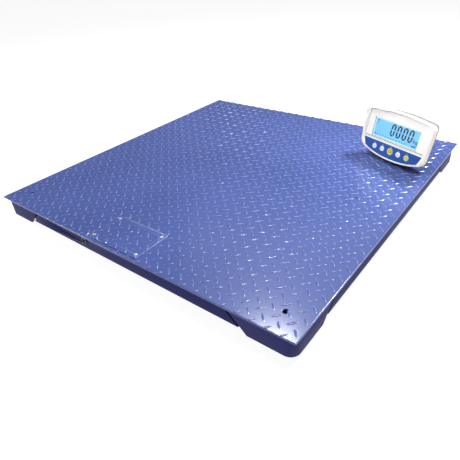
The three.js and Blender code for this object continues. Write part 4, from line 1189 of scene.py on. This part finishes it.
def build_knob():
    hub = EAR_INNER + SHEET + 0.3
    place = Matrix.Translation(Vector(joint("knob_turn")["pos_m"])) @ FACE_FRAME.to_3x3().to_4x4()
    place = place @ Matrix.Rotation(math.pi / 2, 4, "Y") @ Matrix.Scale(MM, 4)
    end = hub + KNOB_LENGTH
    head = [(0.01, hub), (11.4, hub), (12.2, hub + 0.6)]
    head += [(KNOB_RADIUS - 1.6 * (1 - risen), hub + 2 + 1.6 * drawn) for drawn, risen in quarter(6)]
    head += [(KNOB_RADIUS - 3 * drawn, end - 3 + 3 * risen) for drawn, risen in quarter(8)]
    head += [(7.5, end), (6.8, end - 0.6), (0.01, end - 0.6)]
    turned("knob_grip", head, BLACK_PLASTIC, "knob", place, 96, ("stand_knob",), lobed)
    bolt = [(0.01, -hub - 6), (BOLT_RADIUS - 0.8, -hub - 6), (BOLT_RADIUS, -hub - 5.2)]
    z = -hub - 5
    while z < -hub + 4:
        bolt += [(BOLT_RADIUS, z), (BOLT_RADIUS - 0.5, z + 0.5)]
        z += 1.0
    bolt += [(BOLT_RADIUS, z), (BOLT_RADIUS, hub + 1), (0.01, hub + 1)]
    turned("knob_bolt", bolt, ZINC, "knob", place, 40)
    cap = [(0.01, end - 1.4), (6.4, end - 1.4), (6.4, end - 0.3), (5.8, end - 0.1), (0.01, end - 0.1)]
    turned("knob_cap", cap, JACKET, "knob", place, 48)


# ---- inside the indicator


def build_insides():
    sharpened("main_board", 0.2 * MM, BOARD)
    sharpened("battery", 1.5 * MM, CELL_CASE, 3)


# ---- camera, light and floor

CAMERA_AZIMUTH = math.radians(39.26)
CAMERA_ELEVATION = math.radians(33.91)
CAMERA_ROLL = math.radians(-4.11)
CAMERA_DISTANCE = 1.266
CAMERA_TARGET = Vector((0.247, -0.318, DECK_TOP))
CAMERA_LENS = 33.88
CAMERA_SHIFT = (-0.026, -0.002)


def direction(azimuth, elevation):
    level = math.cos(elevation)
    return Vector((math.sin(azimuth) * level, -math.cos(azimuth) * level, math.sin(elevation)))


def look_from(location, target, roll=0.0):
    back = (location - target).normalized()
    right = Vector((0, 0, 1)).cross(back).normalized()
    up = back.cross(right)
    turned_right = right * math.cos(roll) + up * math.sin(roll)
    turned_up = up * math.cos(roll) - right * math.sin(roll)
    matrix = Matrix((turned_right, turned_up, back)).transposed().to_4x4()
    matrix.translation = location
    return matrix


def build_camera():
    data = bpy.data.cameras.new("camera")
    data.lens = CAMERA_LENS
    data.sensor_width = 36
    data.shift_x, data.shift_y = CAMERA_SHIFT
    data.clip_start = 0.01
    camera = linked("camera", data)
    away = direction(CAMERA_AZIMUTH, CAMERA_ELEVATION) * CAMERA_DISTANCE
    camera.matrix_world = look_from(CAMERA_TARGET + away, CAMERA_TARGET, CAMERA_ROLL)
    bpy.context.scene.camera = camera


WHITE = (1, 1, 1, 1)
WORLD_LIGHT = 0.12                  # what the surroundings shed; the camera sees them white
FLOOR_GLOW, FLOOR_TONE, FLOOR_HALF = 0.92, (0.22, 0.22, 0.22, 1), 14.0
PAINTED_SHADE_FADE = 45 * MM                 # how far inside the walls the glow starts to fade into painted shade under the scale; gone at twice that
FLOOR_DROP = 0.3 * MM               # keeps the pads' soles clear of the floor's face
DECK_SPOT = Vector((0.2, -0.2, DECK_TOP))
TREAD_SPOT = Vector((0.49, -0.04, DECK_TOP))
# Name, azimuth and elevation, distance, width and height, power, target, spread.
LAMPS = [
    ("key_light", 155, 50, 3.0, (0.5, 0.5), 124, DECK_SPOT, 180),
    ("back_panel", 209, 46, 3.4, (2.4, 1.4), 5, DECK_SPOT, 180),
    ("corner_glint", 214, 58, 3.2, (0.4, 0.16), 36, DECK_SPOT, 180),
    ("overhead", 45, 88, 2.4, (0.4, 1.3), 28, TREAD_SPOT, 180),
    ("front_fill", -60, 26, 3.0, (0.9, 0.3), 28, DECK_SPOT, 180),
    ("face_light", -15, 52, 2.0, (0.5, 0.4), 0.7, FACE_ORIGIN, 24),
]


def softbox(name, azimuth, elevation, distance, size, power, target, spread):
    data = bpy.data.lights.new(name, "AREA")
    data.shape = "RECTANGLE"
    data.size, data.size_y = size
    data.energy = power
    data.spread = math.radians(spread)
    away = direction(math.radians(azimuth), math.radians(elevation)) * distance
    linked(name, data).matrix_world = look_from(target + away, target)


def build_world():
    world = bpy.data.worlds.new("studio")
    world.use_nodes = True
    tree = world.node_tree
    strength = ramp(tree, node(tree, "LightPath", "Is Camera Ray", {}), 0, 1, WORLD_LIGHT, 1)
    tree.links.new(strength, tree.nodes["Background"].inputs["Strength"])
    tree.nodes["Background"].inputs["Color"].default_value = WHITE
    bpy.context.scene.world = world


def pale_floor():
    """Grey paper that glows, so that it shows white; under the scale its glow fades out, a painted shade
    that keeps the floor dark there.
    """
    paper = material("pale_floor", FLOOR_TONE, 0.8, vary=0.005, bump=0.0, patches=2, gloss=0.0)
    tree = paper.node_tree
    place = node(tree, "TexCoord", "Object", {})
    offsets = [node(tree, "SeparateXYZ", axis, {"Vector": place}) for axis in "XY"]
    sizes = [node(tree, "Math", "Value", {0: offset}, "ABSOLUTE") for offset in offsets]
    away = node(tree, "Math", "Value", dict(enumerate(sizes)), "MAXIMUM")
    # The glow fades out under the scale: painted shade.
    glow_with_painted_shade = ramp(tree, away, -WALL_FACE - 2 * PAINTED_SHADE_FADE, -WALL_FACE - PAINTED_SHADE_FADE, 0, FLOOR_GLOW)
    shader = tree.nodes["Principled BSDF"]
    shader.inputs["Emission Color"].default_value = WHITE
    tree.links.new(glow_with_painted_shade, shader.inputs["Emission Strength"])
    return paper


def build_studio():
    build_world()
    for lamp in LAMPS:
        softbox(*lamp)
    bm = bmesh.new()
    bm.faces.new(flat_ring(bm, [(x * FLOOR_HALF, y * FLOOR_HALF) for x, y in CORNERS.values()], -FLOOR_DROP))
    mesh = bpy.data.meshes.new("floor")
    bm.to_mesh(mesh)
    bm.free()
    mesh.materials.append(pale_floor())
    linked("floor", mesh)


bpy.context.scene.view_settings.view_transform = "Standard"
build_camera()
build_studio()
build_deck()
build_cover_screws()
build_frame()
build_feet()
build_cables()
build_platform_socket()
build_cell_fittings()
build_front_shell()
build_rear_shell()
build_rear_fittings()
build_display()
build_keypad()
build_keys()
build_stand()
build_knob()
build_insides()
